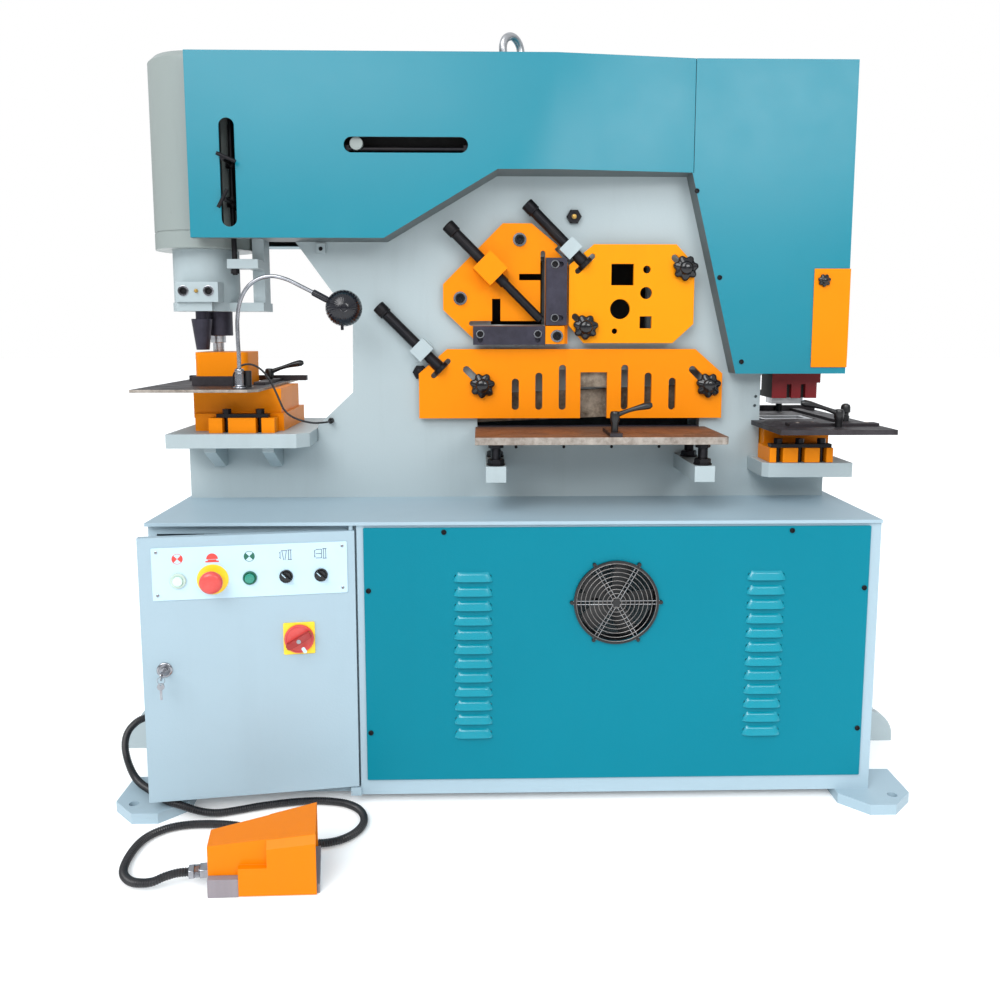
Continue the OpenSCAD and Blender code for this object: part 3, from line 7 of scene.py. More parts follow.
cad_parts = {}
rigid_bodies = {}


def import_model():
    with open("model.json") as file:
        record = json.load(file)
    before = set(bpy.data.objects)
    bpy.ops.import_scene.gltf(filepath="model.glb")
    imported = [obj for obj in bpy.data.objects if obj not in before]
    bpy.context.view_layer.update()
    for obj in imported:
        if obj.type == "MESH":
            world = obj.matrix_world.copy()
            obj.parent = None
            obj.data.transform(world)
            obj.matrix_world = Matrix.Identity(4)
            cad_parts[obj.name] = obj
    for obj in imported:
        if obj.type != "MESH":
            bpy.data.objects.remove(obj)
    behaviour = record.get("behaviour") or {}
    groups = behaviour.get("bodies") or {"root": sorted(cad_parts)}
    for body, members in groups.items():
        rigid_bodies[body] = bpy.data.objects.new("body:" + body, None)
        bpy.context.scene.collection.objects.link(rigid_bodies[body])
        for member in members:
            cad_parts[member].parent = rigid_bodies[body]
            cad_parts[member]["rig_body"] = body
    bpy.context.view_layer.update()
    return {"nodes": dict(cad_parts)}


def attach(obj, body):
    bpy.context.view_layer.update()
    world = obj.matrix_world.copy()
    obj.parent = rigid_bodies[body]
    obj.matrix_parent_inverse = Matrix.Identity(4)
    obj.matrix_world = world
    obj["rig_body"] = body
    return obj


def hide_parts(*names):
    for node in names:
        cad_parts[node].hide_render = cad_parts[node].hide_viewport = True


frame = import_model()
nodes = frame["nodes"]
print("frame loaded")


# Points are given in millimetres and built in metres
def mm(*values):
    return tuple(v * 0.001 for v in values)


socketKinds = {0: "NodeSocketFloat", 3: "NodeSocketVector", 4: "NodeSocketColor"}


def tint(red, green, blue):
    def linear(c):
        c /= 255
        return c / 12.92 if c <= 0.04045 else ((c + 0.055) / 1.055) ** 2.4
    return (linear(red), linear(green), linear(blue), 1.0)


def addObject(name, data):
    added = bpy.data.objects.new(name, data)
    bpy.context.scene.collection.objects.link(added)
    return added


# A node whose inputs take plain values or the sockets of other nodes
def addNode(tree, kind, feeds=(), **settings):
    node = tree.nodes.new(kind)
    for key, value in settings.items():
        setattr(node, key, value)
    for key, value in dict(feeds).items():
        if isinstance(value, bpy.types.NodeSocket):
            tree.links.new(value, node.inputs[key])
        else:
            node.inputs[key].default_value = value
    return node


def worked(tree, operation, *values):
    return addNode(tree, "ShaderNodeMath", enumerate(values), operation=operation).outputs[0]


def ramp(tree, source, low, high, start=0.0, end=1.0):
    return addNode(tree, "ShaderNodeMapRange", {
        "Value": source, "From Min": low, "From Max": high, "To Min": start,
        "To Max": end}).outputs["Result"]


def blendColour(tree, factor, a, b):
    return addNode(tree, "ShaderNodeMix", {0: factor, 6: a, 7: b}, data_type="RGBA").outputs[2]


def shaded(tree, colour, source, low, high):
    return addNode(tree, "ShaderNodeHueSaturation", {
        "Color": colour, "Value": ramp(tree, source, 0.3, 0.7, low, high)}).outputs["Color"]


def noise(tree, place, scale, detail=3.0, rough=0.5):
    return addNode(tree, "ShaderNodeTexNoise", {
        "Vector": place, "Scale": scale, "Detail": detail, "Roughness": rough}).outputs["Fac"]


cameraView = {
    "place": mm(-84, -2376, 1116),
    "turn": 1.3,
    "dip": 7.0,
    "lens": 32.4,
    "sensor": 36,
    "raise": -0.0615,
    "reach": 100,
}
# Boxes of light: place, target, width and height in metres, power
lightPlan = {
    "skyTone": (0.94, 0.975, 1.0, 1),
    "skyLow": 0.3,
    "skyHigh": 0.9,
    "skyRise": 0.4,
    "sun": 1.7,
    "sunTurn": (48, 0, -28),
    "sunSpread": 40,
    "boxes": {
        "leftBox": ((-1.3, -4.1, 2.9), (-0.4, 0, 1.2), (2.6, 1.1), 40.0),
        "rightBox": ((1.75, -4.0, 2.55), (0.5, 0, 1.2), (1.7, 1.0), 38.0),
        "backBox": ((0.4, 4.0, 2.8), (0, 0, 0.9), (3.4, 1.4), 30.0),
    },
}


def setCamera():
    data = bpy.data.cameras.new("viewCamera")
    data.lens = cameraView["lens"]
    data.sensor_width = cameraView["sensor"]
    data.shift_y = cameraView["raise"]
    data.clip_end = cameraView["reach"]
    camera = addObject("viewCamera", data)
    camera.location = cameraView["place"]
    camera.rotation_euler = (radians(90 - cameraView["dip"]), 0, radians(-cameraView["turn"]))
    bpy.context.scene.camera = camera


# The sky lights the object from above and stays plain white to the camera
def setSky():
    world = bpy.data.worlds.new("studio")
    world.use_nodes = True
    tree = world.node_tree
    way = addNode(tree, "ShaderNodeTexCoord").outputs["Generated"]
    split = addNode(tree, "ShaderNodeSeparateXYZ", {0: way})
    rise = addNode(tree, "ShaderNodeMapRange", {
        "Value": split.outputs["Z"], "From Min": 0.0, "From Max": lightPlan["skyRise"],
        "To Min": lightPlan["skyLow"], "To Max": lightPlan["skyHigh"]},
        interpolation_type="SMOOTHSTEP")
    sky = tree.nodes["Background"]
    sky.inputs["Color"].default_value = lightPlan["skyTone"]
    tree.links.new(rise.outputs["Result"], sky.inputs["Strength"])
    seen = addNode(tree, "ShaderNodeBackground", {"Color": (1, 1, 1, 1)})
    path = addNode(tree, "ShaderNodeLightPath")
    mixed = addNode(tree, "ShaderNodeMixShader", {
        0: path.outputs["Is Camera Ray"], 1: sky.outputs[0], 2: seen.outputs[0]})
    tree.links.new(mixed.outputs[0], tree.nodes["World Output"].inputs["Surface"])
    bpy.context.scene.world = world


def setLights():
    sun = bpy.data.lights.new("softSun", "SUN")
    sun.energy = lightPlan["sun"]
    sun.angle = radians(lightPlan["sunSpread"])
    addObject("softSun", sun).rotation_euler = [radians(v) for v in lightPlan["sunTurn"]]
    for name, (spot, target, size, power) in lightPlan["boxes"].items():
        data = bpy.data.lights.new(name, "AREA")
        data.shape = "RECTANGLE"
        data.size, data.size_y = size
        data.energy = power
        light = addObject(name, data)
        light.location = spot
        aim = Vector(target) - Vector(spot)
        light.rotation_euler = aim.to_track_quat("-Z", "Y").to_euler()
    bpy.context.scene.view_settings.view_transform = "Standard"


setCamera()
setSky()
setLights()
print("camera and lights set")


# A group of coat nodes with named inputs; it puts out colour, roughness and height
def startGroup(name, **inputs):
    group = bpy.data.node_groups.new(name, "ShaderNodeTree")
    for label, value in inputs.items():
        kind = socketKinds[len(value) if isinstance(value, tuple) else 0]
        group.interface.new_socket(label, in_out="INPUT", socket_type=kind).default_value = value
    for label, kind in (("Colour", 4), ("Roughness", 0), ("Height", 0)):
        group.interface.new_socket(label, in_out="OUTPUT", socket_type=socketKinds[kind])
    place = addNode(group, "ShaderNodeTexCoord").outputs["Object"]
    return group, group.nodes.new("NodeGroupInput").outputs, place


def endGroup(group, colour, rough, height):
    addNode(group, "NodeGroupOutput", {"Colour": colour, "Roughness": rough, "Height": height})
    return group


# Sprayed paint: slow shade changes, soiled streaks and specks, orange peel
def paintGroup():
    group, into, place = startGroup("paintCoat", Colour=(0.5, 0.5, 0.5, 1.0),
                                    Dirt=(0.2, 0.2, 0.2, 1.0), Gloss=0.35, Soiling=0.3, Peel=1.0)
    shade = shaded(group, into["Colour"], noise(group, place, 1.7, 4), 0.96, 1.03)
    drawn = addNode(group, "ShaderNodeMapping", {"Vector": place, "Scale": (14, 14, 1.6)})
    streak = noise(group, drawn.outputs["Vector"], 1.0, 6, 0.65)
    streaks = worked(group, "MULTIPLY", ramp(group, streak, 0.52, 0.86), into["Soiling"])
    specks = worked(group, "MULTIPLY", ramp(group, noise(group, place, 60, 6, 0.7), 0.68, 0.78),
                    into["Soiling"])
    colour = blendColour(group, worked(group, "MAXIMUM", streaks, specks), shade, into["Dirt"])
    cloud = ramp(group, noise(group, place, 9, 5, 0.6), 0.3, 0.7, -0.02, 0.03)
    height = worked(group, "MULTIPLY_ADD", noise(group, place, 170, 2), 0.5,
                    noise(group, place, 240, 2, 0.4))
    height = worked(group, "MULTIPLY_ADD", noise(group, place, 30, 2, 0.4), 0.8, height)
    return endGroup(group, colour, worked(group, "ADD", cloud, into["Gloss"]),
                    worked(group, "MULTIPLY", height, into["Peel"]))


# Machined or blackened metal: grain along one way, stained patches and spots
def metalGroup():
    group, into, place = startGroup("workedMetal", Colour=(0.5, 0.5, 0.5, 1.0),
                                    Stain=(0.2, 0.15, 0.1, 1.0), Gloss=0.3, Staining=0.3,
                                    Grain=(400.0, 12.0, 12.0))
    scaled = addNode(group, "ShaderNodeVectorMath", {0: place, 1: into["Grain"]},
                     operation="MULTIPLY").outputs[0]
    grain = noise(group, scaled, 1.0, 4, 0.6)
    patch = worked(group, "MULTIPLY_ADD", noise(group, place, 90, 4, 0.6), 0.45,
                   noise(group, place, 16, 6, 0.65))
    mask = worked(group, "MULTIPLY", ramp(group, patch, 0.62, 0.98), into["Staining"])
    colour = blendColour(group, mask, shaded(group, into["Colour"], grain, 0.8, 1.15),
                         into["Stain"])
    rough = worked(group, "MULTIPLY_ADD", mask, 0.35, into["Gloss"])
    return endGroup(group, colour, worked(group, "MULTIPLY_ADD", grain, 0.16, rough), grain)


# Moulded plastic, rubber or printed plate: fine grain and a little dust
def skinGroup():
    group, into, place = startGroup("mouldedSkin", Colour=(0.5, 0.5, 0.5, 1.0),
                                    Dust=(0.5, 0.48, 0.45, 1.0), Gloss=0.4, Dusting=0.1)
    dust = worked(group, "MULTIPLY", ramp(group, noise(group, place, 24, 6, 0.7), 0.45, 0.8),
                  into["Dusting"])
    colour = blendColour(group, dust, into["Colour"], into["Dust"])
    grain = addNode(group, "ShaderNodeTexVoronoi", {"Vector": place, "Scale": 900.0})
    return endGroup(group, colour, worked(group, "MULTIPLY_ADD", dust, 0.9, into["Gloss"]),
                    grain.outputs["Distance"])


finishes = {}


def material(name, coat, values, relief, depth, **shader):
    made = bpy.data.materials.new(name)
    made.use_nodes = True
    tree = made.node_tree
    surface = tree.nodes["Principled BSDF"]
    group = tree.nodes.new("ShaderNodeGroup")
    group.node_tree = coat
    for key, value in values.items():
        group.inputs[key].default_value = value
    bump = addNode(tree, "ShaderNodeBump", {"Strength": relief, "Distance": depth,
                                            "Height": group.outputs["Height"]})
    for key, source in (("Base Color", group.outputs["Colour"]),
                        ("Roughness", group.outputs["Roughness"]),
                        ("Normal", bump.outputs["Normal"])):
        tree.links.new(source, surface.inputs[key])
    for key, value in shader.items():
        surface.inputs[key.replace("_", " ")].default_value = value
    finishes[name] = made


# Colour, dirt, gloss, soiling, orange peel, relief, specular level
paints = {
    "framePaint": ((162, 175, 179), (104, 108, 106), 0.36, 0.14, 1.0, 0.22, 0.4),
    "cabinetPaint": ((156, 178, 190), (110, 118, 122), 0.42, 0.06, 1.2, 0.25, 0.35),
    "coverPaint": ((0, 120, 139), (6, 94, 110), 0.3, 0.02, 0.6, 0.14, 0.46),
    # The panel's paint made lighter and glossier for the pressed louvers: the lighter colour is
    # painted light
    "litLouverPaint": ((0, 134, 153), (4, 86, 102), 0.22, 0.02, 0.5, 0.1, 0.6),
    # A darker grey for the covers' downward and left-facing faces: painted shade
    "flangeShadeGrey": ((88, 98, 100), (60, 66, 66), 0.45, 0.3, 1.0, 0.2, 0.25),
    "cylinderPaint": ((137, 146, 144), (96, 100, 96), 0.34, 0.3, 1.0, 0.2, 0.4),
    "panelPaint": ((0, 117, 136), (6, 88, 104), 0.36, 0.05, 1.0, 0.2, 0.12),
    "guardPaint": ((228, 130, 0), (120, 66, 14), 0.4, 0.12, 1.0, 0.16, 0.12),
    "barGuardPaint": ((228, 140, 0), (130, 74, 14), 0.4, 0.12, 1.0, 0.16, 0.12),
    "pedalPaint": ((226, 122, 0), (140, 78, 40), 0.38, 0.12, 1.2, 0.2, 0.15),
    "pedalGrey": ((138, 132, 138), (86, 82, 84), 0.5, 0.3, 1.4, 0.3, 0.3),
    "toolRed": ((132, 26, 32), (60, 22, 22), 0.4, 0.4, 1.0, 0.25, 0.3),
}
# Colour, stain, gloss, staining, grain, relief, depth of the relief, metallic
metals = {
    "blackSteel": ((28, 28, 32), (52, 48, 45), 0.3, 0.4, (60, 60, 60), 0.15, 0.0003, 0.8),
    "darkTable": ((64, 60, 64), (38, 34, 34), 0.38, 0.6, (12, 140, 12), 0.2, 0.0004, 0.75),
    "darkBlade": ((58, 56, 68), (36, 34, 38), 0.32, 0.4, (40, 40, 40), 0.15, 0.0003, 0.7),
    "mottledSteel": ((150, 140, 126), (84, 72, 58), 0.42, 1.0, (30, 30, 30), 0.35, 0.0006, 0.55),
    "wornEdge": ((168, 160, 152), (92, 78, 68), 0.36, 0.9, (60, 60, 20), 0.3, 0.0006, 0.7),
    "brightSteel": ((190, 192, 196), (120, 110, 98), 0.22, 0.3, (12, 12, 300), 0.15, 0.0003, 1),
    "chrome": ((160, 162, 168), (104, 104, 106), 0.12, 0.2, (30, 30, 30), 0.03, 0.0002, 1),
    "brownSteel": ((132, 98, 76), (92, 62, 50), 0.4, 0.7, (14, 220, 14), 0.2, 0.0004, 0.55),
    "brass": ((196, 160, 90), (110, 84, 44), 0.22, 0.3, (60, 60, 60), 0.1, 0.0003, 1),
    "wireGrey": ((150, 146, 144), (96, 92, 90), 0.34, 0.3, (40, 40, 40), 0.05, 0.0002, 0.8),
}
# Colour, colour of the dust, gloss, dusting, relief, depth of the relief, clear coat
skins = {
    "shadowBlack": ((16, 15, 15), None, 0.6, 0.05, 0.05, 0.0002, 0),
    "blackPlastic": ((13, 13, 16), None, 0.3, 0.02, 0.06, 0.0002, 0),
    "knobBlack": ((14, 14, 18), None, 0.12, 0.03, 0.02, 0.0001, 0),
    "lampBlack": ((12, 13, 22), None, 0.16, 0.01, 0.03, 0.0002, 0),
    "rotorGrey": ((9, 10, 13), None, 0.5, 0.01, 0.06, 0.0002, 0),
    "controlPlate": ((186, 214, 229), (168, 190, 202), 0.34, 0.2, 0.03, 0.0002, 0),
    "bezelPale": ((186, 204, 194), None, 0.3, 0.1, 0.03, 0.0002, 0),
    "whiteSwitch": ((200, 236, 224), None, 0.24, 0.03, 0.03, 0.0001, 0.4),
    "greenSwitch": ((22, 132, 112), None, 0.22, 0.03, 0.03, 0.0001, 0.4),
    "redSwitch": ((206, 66, 62), None, 0.34, 0.1, 0.03, 0.0001, 0.2),
    "darkRedSwitch": ((150, 34, 34), None, 0.34, 0.1, 0.03, 0.0001, 0),
    "yellowSwitch": ((246, 206, 38), None, 0.36, 0.06, 0.03, 0.0001, 0),
    "signRed": ((214, 66, 58), None, 0.5, 0.05, 0.02, 0.0001, 0),
    "signGreen": ((28, 96, 76), None, 0.5, 0.05, 0.02, 0.0001, 0),
    "signBlue": ((44, 54, 84), None, 0.5, 0.05, 0.02, 0.0001, 0),
    "hoseRubber": ((24, 24, 28), (96, 94, 92), 0.36, 0.12, 0.1, 0.0003, 0),
}


def makeMaterials():
    coat = paintGroup()
    for name, (colour, dirt, gloss, soiling, peel, relief, specular) in paints.items():
        material(name, coat, {"Colour": tint(*colour), "Dirt": tint(*dirt), "Gloss": gloss,
                              "Soiling": soiling, "Peel": peel}, relief, 0.0006,
                 Specular_IOR_Level=specular)
    coat = metalGroup()
    for name, (colour, stain, gloss, staining, grain, relief, depth, metal) in metals.items():
        material(name, coat, {"Colour": tint(*colour), "Stain": tint(*stain), "Gloss": gloss,
                              "Staining": staining, "Grain": grain}, relief, depth,
                 Metallic=metal)
    coat = skinGroup()
    for name, (colour, dust, gloss, dusting, relief, depth, clear) in skins.items():
        values = {"Colour": tint(*colour), "Gloss": gloss, "Dusting": dusting}
        if dust:
            values["Dust"] = tint(*dust)
        material(name, coat, values, relief, depth, Coat_Weight=clear)
    material("floorTone", coat, {"Colour": tint(252, 252, 252), "Dust": tint(248, 248, 248),
                                 "Gloss": 0.7, "Dusting": 0.1}, 0.02, 0.0002,
             Specular_IOR_Level=0.1, Emission_Strength=0.12, Emission_Color=(1, 1, 1, 1))


makeMaterials()
print("materials built")


def place(name, mesh, body, slotName, looks):
    for look in looks:
        mesh.materials.append(finishes[look])
    piece = addObject(name, mesh)
    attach(piece, body)
    return piece


# The CAD node that a piece is named after: frontPlate stands for front_plate
def nodeOf(name):
    return "".join("_" + c.lower() if c.isupper() else c for c in name)


def finishMesh(bm, name, angle=32):
    bmesh.ops.remove_doubles(bm, verts=bm.verts[:], dist=1e-6)
    bmesh.ops.recalc_face_normals(bm, faces=bm.faces[:])
    mesh = bpy.data.meshes.new(name)
    bm.to_mesh(mesh)
    bm.free()
    mesh.shade_smooth()
    mesh.set_sharp_from_angle(angle=radians(angle))
    return mesh


def applied(piece):
    bpy.context.view_layer.update()
    graph = bpy.context.evaluated_depsgraph_get()
    mesh = bpy.data.meshes.new_from_object(piece.evaluated_get(graph))
    old = piece.data
    piece.modifiers.clear()
    piece.data = mesh
    bpy.data.meshes.remove(old)


# Angles in degrees: where an edge is rounded, where it stays sharp, and where two flat
# faces count as one. The weight is how far a large face leads the shading of its edges
edgeRules = {
    "rounded": 30,
    "sharp": 50,
    "flat": 0.4,
    "evenWeight": 80,
}


def rounded(piece, width, steps):
    bevel = piece.modifiers.new("edges", "BEVEL")
    bevel.width = width
    bevel.segments = steps
    bevel.limit_method = "ANGLE"
    bevel.angle_limit = radians(edgeRules["rounded"])
    applied(piece)
    evened(piece, edgeRules["sharp"])


# Flat faces keep their own shading, and only the eased edges between them turn
def evened(piece, sharp):
    piece.data.shade_smooth()
    piece.data.set_sharp_from_angle(angle=radians(sharp))
    even = piece.modifiers.new("even", "WEIGHTED_NORMAL")
    even.keep_sharp = True
    even.weight = edgeRules["evenWeight"]
    applied(piece)


# A carried-over CAD node with its edges rounded. Each face takes its finish from its middle,
# in millimetres, and its normal (spot). What stands in front of frontLimit is cut away for
# a detailed piece
def dressed(name, slotName, looks, width=1.2, spot=None, steps=2, frontLimit=None,
            merged=True, node=None):
    node = node or nodeOf(name)
    source = nodes[node]
    bm = bmesh.new()
    bm.from_mesh(source.data)
    bmesh.ops.remove_doubles(bm, verts=bm.verts[:], dist=2e-5)
    if frontLimit is not None:
        bmesh.ops.bisect_plane(bm, geom=bm.verts[:] + bm.edges[:] + bm.faces[:], dist=1e-5,
                               plane_co=(0, frontLimit * 0.001, 0), plane_no=(0, -1, 0),
                               clear_outer=True)
        bmesh.ops.holes_fill(bm, edges=[e for e in bm.edges if e.is_boundary], sides=0)
    if merged:
        bmesh.ops.dissolve_limit(bm, angle_limit=radians(edgeRules["flat"]),
                                 verts=bm.verts[:], edges=bm.edges[:])
    if spot:
        for face in bm.faces:
            face.material_index = spot(face.calc_center_median() * 1000, face.normal)
    mesh = bpy.data.meshes.new(name)
    bm.to_mesh(mesh)
    bm.free()
    piece = place(name, mesh, source["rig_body"], slotName, looks)
    rounded(piece, width * 0.001, steps)
    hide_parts(node)


# A piece built in place. It replaces the CAD node that it is named after, or the one given,
# and rides on that node's body. With a body of its own it replaces none
def build(name, maker, slotName, looks, angle=32, node=None, body=None):
    bm = bmesh.new()
    maker(bm)
    node = None if body else node or nodeOf(name)
    piece = place(name, finishMesh(bm, name, angle), body or nodes[node]["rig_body"], slotName,
                  looks)
    evened(piece, angle)
    if node:
        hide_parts(node)


# Parts of a working frame: a shift in millimetres, a turn in degrees and the scale
def moved(x, y, z=0.0):
    return Matrix.Translation(mm(x, y, z))


def spun(angle, axis="Z"):
    return Matrix.Rotation(radians(angle), 4, axis)


shrink = Matrix.Scale(0.001, 4)


# Shapes are built in a working frame in millimetres at a point, with Z along toward
def at(x, y, z, toward=(0, 0, 1), spin=0.0):
    turn = Vector((0, 0, 1)).rotation_difference(Vector(toward)).to_matrix().to_4x4()
    return moved(x, y, z) @ turn @ spun(spin) @ shrink


# The same, facing the front: X across, Y up and Z out towards the viewer
def front(x, y, z, spin=0.0):
    return moved(x, y, z) @ spun(90, "X") @ spun(spin) @ shrink


def hexagon(a):
    return cos(pi / 6) / cos(a % (pi / 3) - pi / 6)


# A shape for turned: a hexagon below a height, and round beyond it
def hexed(limit, beyond=1.0):
    return lambda a, z: hexagon(a) if z < limit else beyond


# Faces from each ring of vertices to the next, and over the ends if capped. A ring may be
# one point
def skinned(bm, rings, look=0, capped=True):
    made = []
    for a, b in zip(rings, rings[1:]):
        count = max(len(a), len(b))
        for k in range(count):
            n = (k + 1) % count
            corners = (a[k % len(a)], a[n % len(a)], b[n % len(b)], b[k % len(b)])
            made.append(bm.faces.new(dict.fromkeys(corners)))
    if capped:
        made += [bm.faces.new(ring) for ring in (rings[0][::-1], rings[-1]) if len(ring) > 1]
    for face in made:
        face.material_index = look


# Revolves a profile of (radius, height); shape scales a ring's radius by angle
def turned(bm, profile, base, sides=28, look=0, shape=None, capped=True):
    rings = []
    for radius, along in profile:
        ring = []
        for k in range(sides if radius >= 1e-4 else 1):
            a = 2 * pi * k / sides
            r = radius * (shape(a, along) if shape and radius >= 1e-4 else 1)
            ring.append(bm.verts.new(base @ Vector((r * cos(a), r * sin(a), along))))
        rings.append(ring)
    skinned(bm, rings, look, capped)


# Extrudes an outline of (x, y) from low to high, with its edges eased
def prism(bm, outline, low, high, base, look=0, ease=0.0):
    cx = sum(p[0] for p in outline) / len(outline)
    cy = sum(p[1] for p in outline) / len(outline)
    reach = max(hypot(p[0] - cx, p[1] - cy) for p in outline)
    levels = [(low, 0.0), (high, 0.0)] if not ease else [
        (low, ease), (low + ease, 0.0), (high - ease, 0.0), (high, ease)]
    rings = []
    for level, inset in levels:
        k = 1 - inset / reach
        rings.append([bm.verts.new(base @ Vector((cx + (x - cx) * k, cy + (y - cy) * k, level)))
                      for x, y in outline])
    skinned(bm, rings, look)


def oblong(halfX, halfY, corner, steps=5):
    out = []
    for sx, sy, start in ((1, 1, 0), (-1, 1, 90), (-1, -1, 180), (1, -1, 270)):
        for i in range(steps + 1):
            a = radians(start + 90 * i / steps)
            out.append((sx * (halfX - corner) + corner * cos(a),
                        sy * (halfY - corner) + corner * sin(a)))
    return out


# A rounded rectangle between two pairs of limits
def panel(x, y, corner, steps):
    return shifted(oblong((x[1] - x[0]) / 2, (y[1] - y[0]) / 2, corner, steps),
                   (x[0] + x[1]) / 2, (y[0] + y[1]) / 2)


def shifted(outline, x, y, turn=0.0):
    c, s = cos(radians(turn)), sin(radians(turn))
    return [(x + px * c - py * s, y + px * s + py * c) for px, py in outline]


def disc(radius, sides=32, start=0.0, sweep=360.0):
    whole = sweep >= 360
    count = sides if whole else sides + 1
    spots = [(radius * cos(radians(start + sweep * k / sides)),
              radius * sin(radians(start + sweep * k / sides))) for k in range(count)]
    return spots if whole else spots + [(0.0, 0.0)]


def grown(outline, reach):
    count = len(outline)
    area = sum(outline[k - 1][0] * outline[k][1] - outline[k][0] * outline[k - 1][1]
               for k in range(count))
    out = []
    for k, spot in enumerate(outline):
        way = Vector(outline[(k + 1) % count]) - Vector(outline[k - 1])
        way = way.normalized() * reach * (1 if area > 0 else -1)
        out.append((spot[0] + way.y, spot[1] - way.x))
    return out


# A plate with holes through it, its edges eased on both faces
def cutPlate(bm, outline, holes, low, high, base, look=0, ease=0.5):
    rims = {0: [], 3: []}
    for k, line in enumerate([outline] + holes):
        side = -1 if k == 0 else 1
        rings = []
        for level, reach in ((low, ease), (low + ease, 0), (high - ease, 0), (high, ease)):
            rings.append([bm.verts.new(base @ Vector((x, y, level)))
                          for x, y in (grown(line, side * reach) if reach else line)])
        skinned(bm, rings, look, capped=False)
        for which, edges in rims.items():
            ring = rings[which]
            edges += [bm.edges.get((ring[i - 1], ring[i])) for i in range(len(line))]
    for edges in rims.values():
        for part in bmesh.ops.triangle_fill(bm, use_beauty=True, edges=edges)["geom"]:
            if isinstance(part, bmesh.types.BMFace):
                part.material_index = look


def ringWire(bm, base, radius, thick, lift, sides=48, around=8, look=0):
    rings = []
    for k in range(sides):
        a = 2 * pi * k / sides
        ring = []
        for j in range(around):
            b = 2 * pi * j / around
            out = radius + thick * cos(b)
            ring.append(bm.verts.new(base @ Vector((out * cos(a), out * sin(a),
                                                    lift + thick * sin(b)))))
        rings.append(ring)
    skinned(bm, rings + rings[:1], look, capped=False)


# A socket-head cap screw with a hexagon recess, standing along Z, with or without a washer
def capScrew(bm, base, radius, high, look=0, washer=0.0):
    if washer:
        rim = radius * 1.42
        turned(bm, [(radius * 0.5, 0), (rim - 0.4, 0), (rim, 0.4), (rim, washer - 0.4),
                    (rim - 0.4, washer), (radius * 0.5, washer)], base, 32, 1)
    top, socket = washer + high, radius * 0.56
    turned(bm, [(0, washer), (radius, washer), (radius, top - 1.2), (radius - 1.2, top),
                (socket * 1.12, top)], base, 36, look,
           lambda a, z: 1.0 if z > top - 1.25 else 1 - 0.025 * (cos(18 * a) > 0),
           capped=False)
    turned(bm, [(socket * 1.12, top), (socket, top - 0.6)], base, 36, look, capped=False)
    turned(bm, [(socket, top - 0.6), (socket * 0.98, washer + high * 0.45),
                (0, washer + high * 0.4)], base, 36, look,
           lambda a, z: 1.0 if z > top - 0.7 else hexagon(a) * 0.92, capped=False)


# A threaded bar along Z from low to high, as one continuous helix
def threaded(bm, base, radius, low, high, pitch=3.0, depth=1.2, look=0, sides=20):
    steps = max(2, int((high - low) / pitch * 4))
    profile = [(radius, low + (high - low) * i / steps) for i in range(steps + 1)]

    def wave(a, z):
        t = (z / pitch - a / (2 * pi)) % 1.0
        return 1 - depth / radius * abs(2 * t - 1)
    turned(bm, profile, base, sides, look, wave)


# A seven-lobed knob on its stud, which reaches back below it
def starKnob(bm, base, r, reach):
    def star(a, z):
        return 1.0 if z > r * 0.55 else 1 - 0.2 * (0.5 - 0.5 * cos(7 * a)) ** 1.4
    turned(bm, [(r * 0.42, 0), (r * 0.86, 0.02 * r), (r * 0.97, r * 0.08), (r, r * 0.16),
                (r, r * 0.3), (r * 0.95, r * 0.38), (r * 0.84, r * 0.45), (r * 0.68, r * 0.51),
                (r * 0.54, r * 0.555), (r * 0.49, r * 0.6), (r * 0.46, r * 0.68),
                (r * 0.36, r * 0.74), (r * 0.2, r * 0.77), (r * 0.06, r * 0.78), (0, r * 0.78)],
           base, 84, 0, star)
    threaded(bm, base, r * 0.2, -reach, 1, 2.0, 0.6, 1, 16)


# A clamping lever: post with a conical hub, and a bent arm with a rounded grip
def clampLever(bm, x, y, z, post, handle, turn):
    turned(bm, [(0, 0), (8.6, 0), (8.6, post - 26), (11.5, post - 20), (11.8, post - 6),
                (9.5, post), (5, post + 1), (0, post + 1)], at(x, y, z), 26, 1)
    c, s = cos(radians(turn)), sin(radians(turn))
    line, radii = [], []
    for i in range(15):
        t = i / 14
        out = handle * t
        up = post - 10 + handle * 0.29 * t + 3.0 * sin(pi * t)
        line.append(Vector(mm(x + c * out, y + s * out, z + up)))
        radii.append(0.001 * (7.4 - 2.6 * sin(pi * min(t * 1.3, 1)) + 1.4 * t * t)
                     * (0.55 if i == 14 else 1))
    tubeMesh(bm, line, radii, 14, 1)


def smoothLine(points, steps):
    out = []
    spots = [Vector(p) for p in points]
    for i in range(len(spots) - 1):
        a = spots[max(i - 1, 0)]
        b, c = spots[i], spots[i + 1]
        d = spots[min(i + 2, len(spots) - 1)]
        for j in range(steps):
            t = j / steps
            out.append(0.5 * (2 * b + (c - a) * t + (2 * a - 5 * b + 4 * c - d) * t * t
                              + (3 * b - 3 * c + d - a) * t ** 3))
    out.append(spots[-1])
    return out


def lineLength(points):
    return sum((b - a).length for a, b in zip(points, points[1:]))


# Rings along a line, each with its own radius, closed at both ends
def tubeMesh(bm, points, radii, sides=12, look=0):
    side = None
    rings = []
    for i, spot in enumerate(points):
        way = (points[min(i + 1, len(points) - 1)] - points[max(i - 1, 0)]).normalized()
        if side is None:
            side = way.orthogonal().normalized()
        side = (side - way * side.dot(way)).normalized()
        up = way.cross(side)
        rings.append([bm.verts.new(spot + (side * cos(a) + up * sin(a)) * radii[i])
                      for a in (2 * pi * k / sides for k in range(sides))])
    skinned(bm, rings, look)


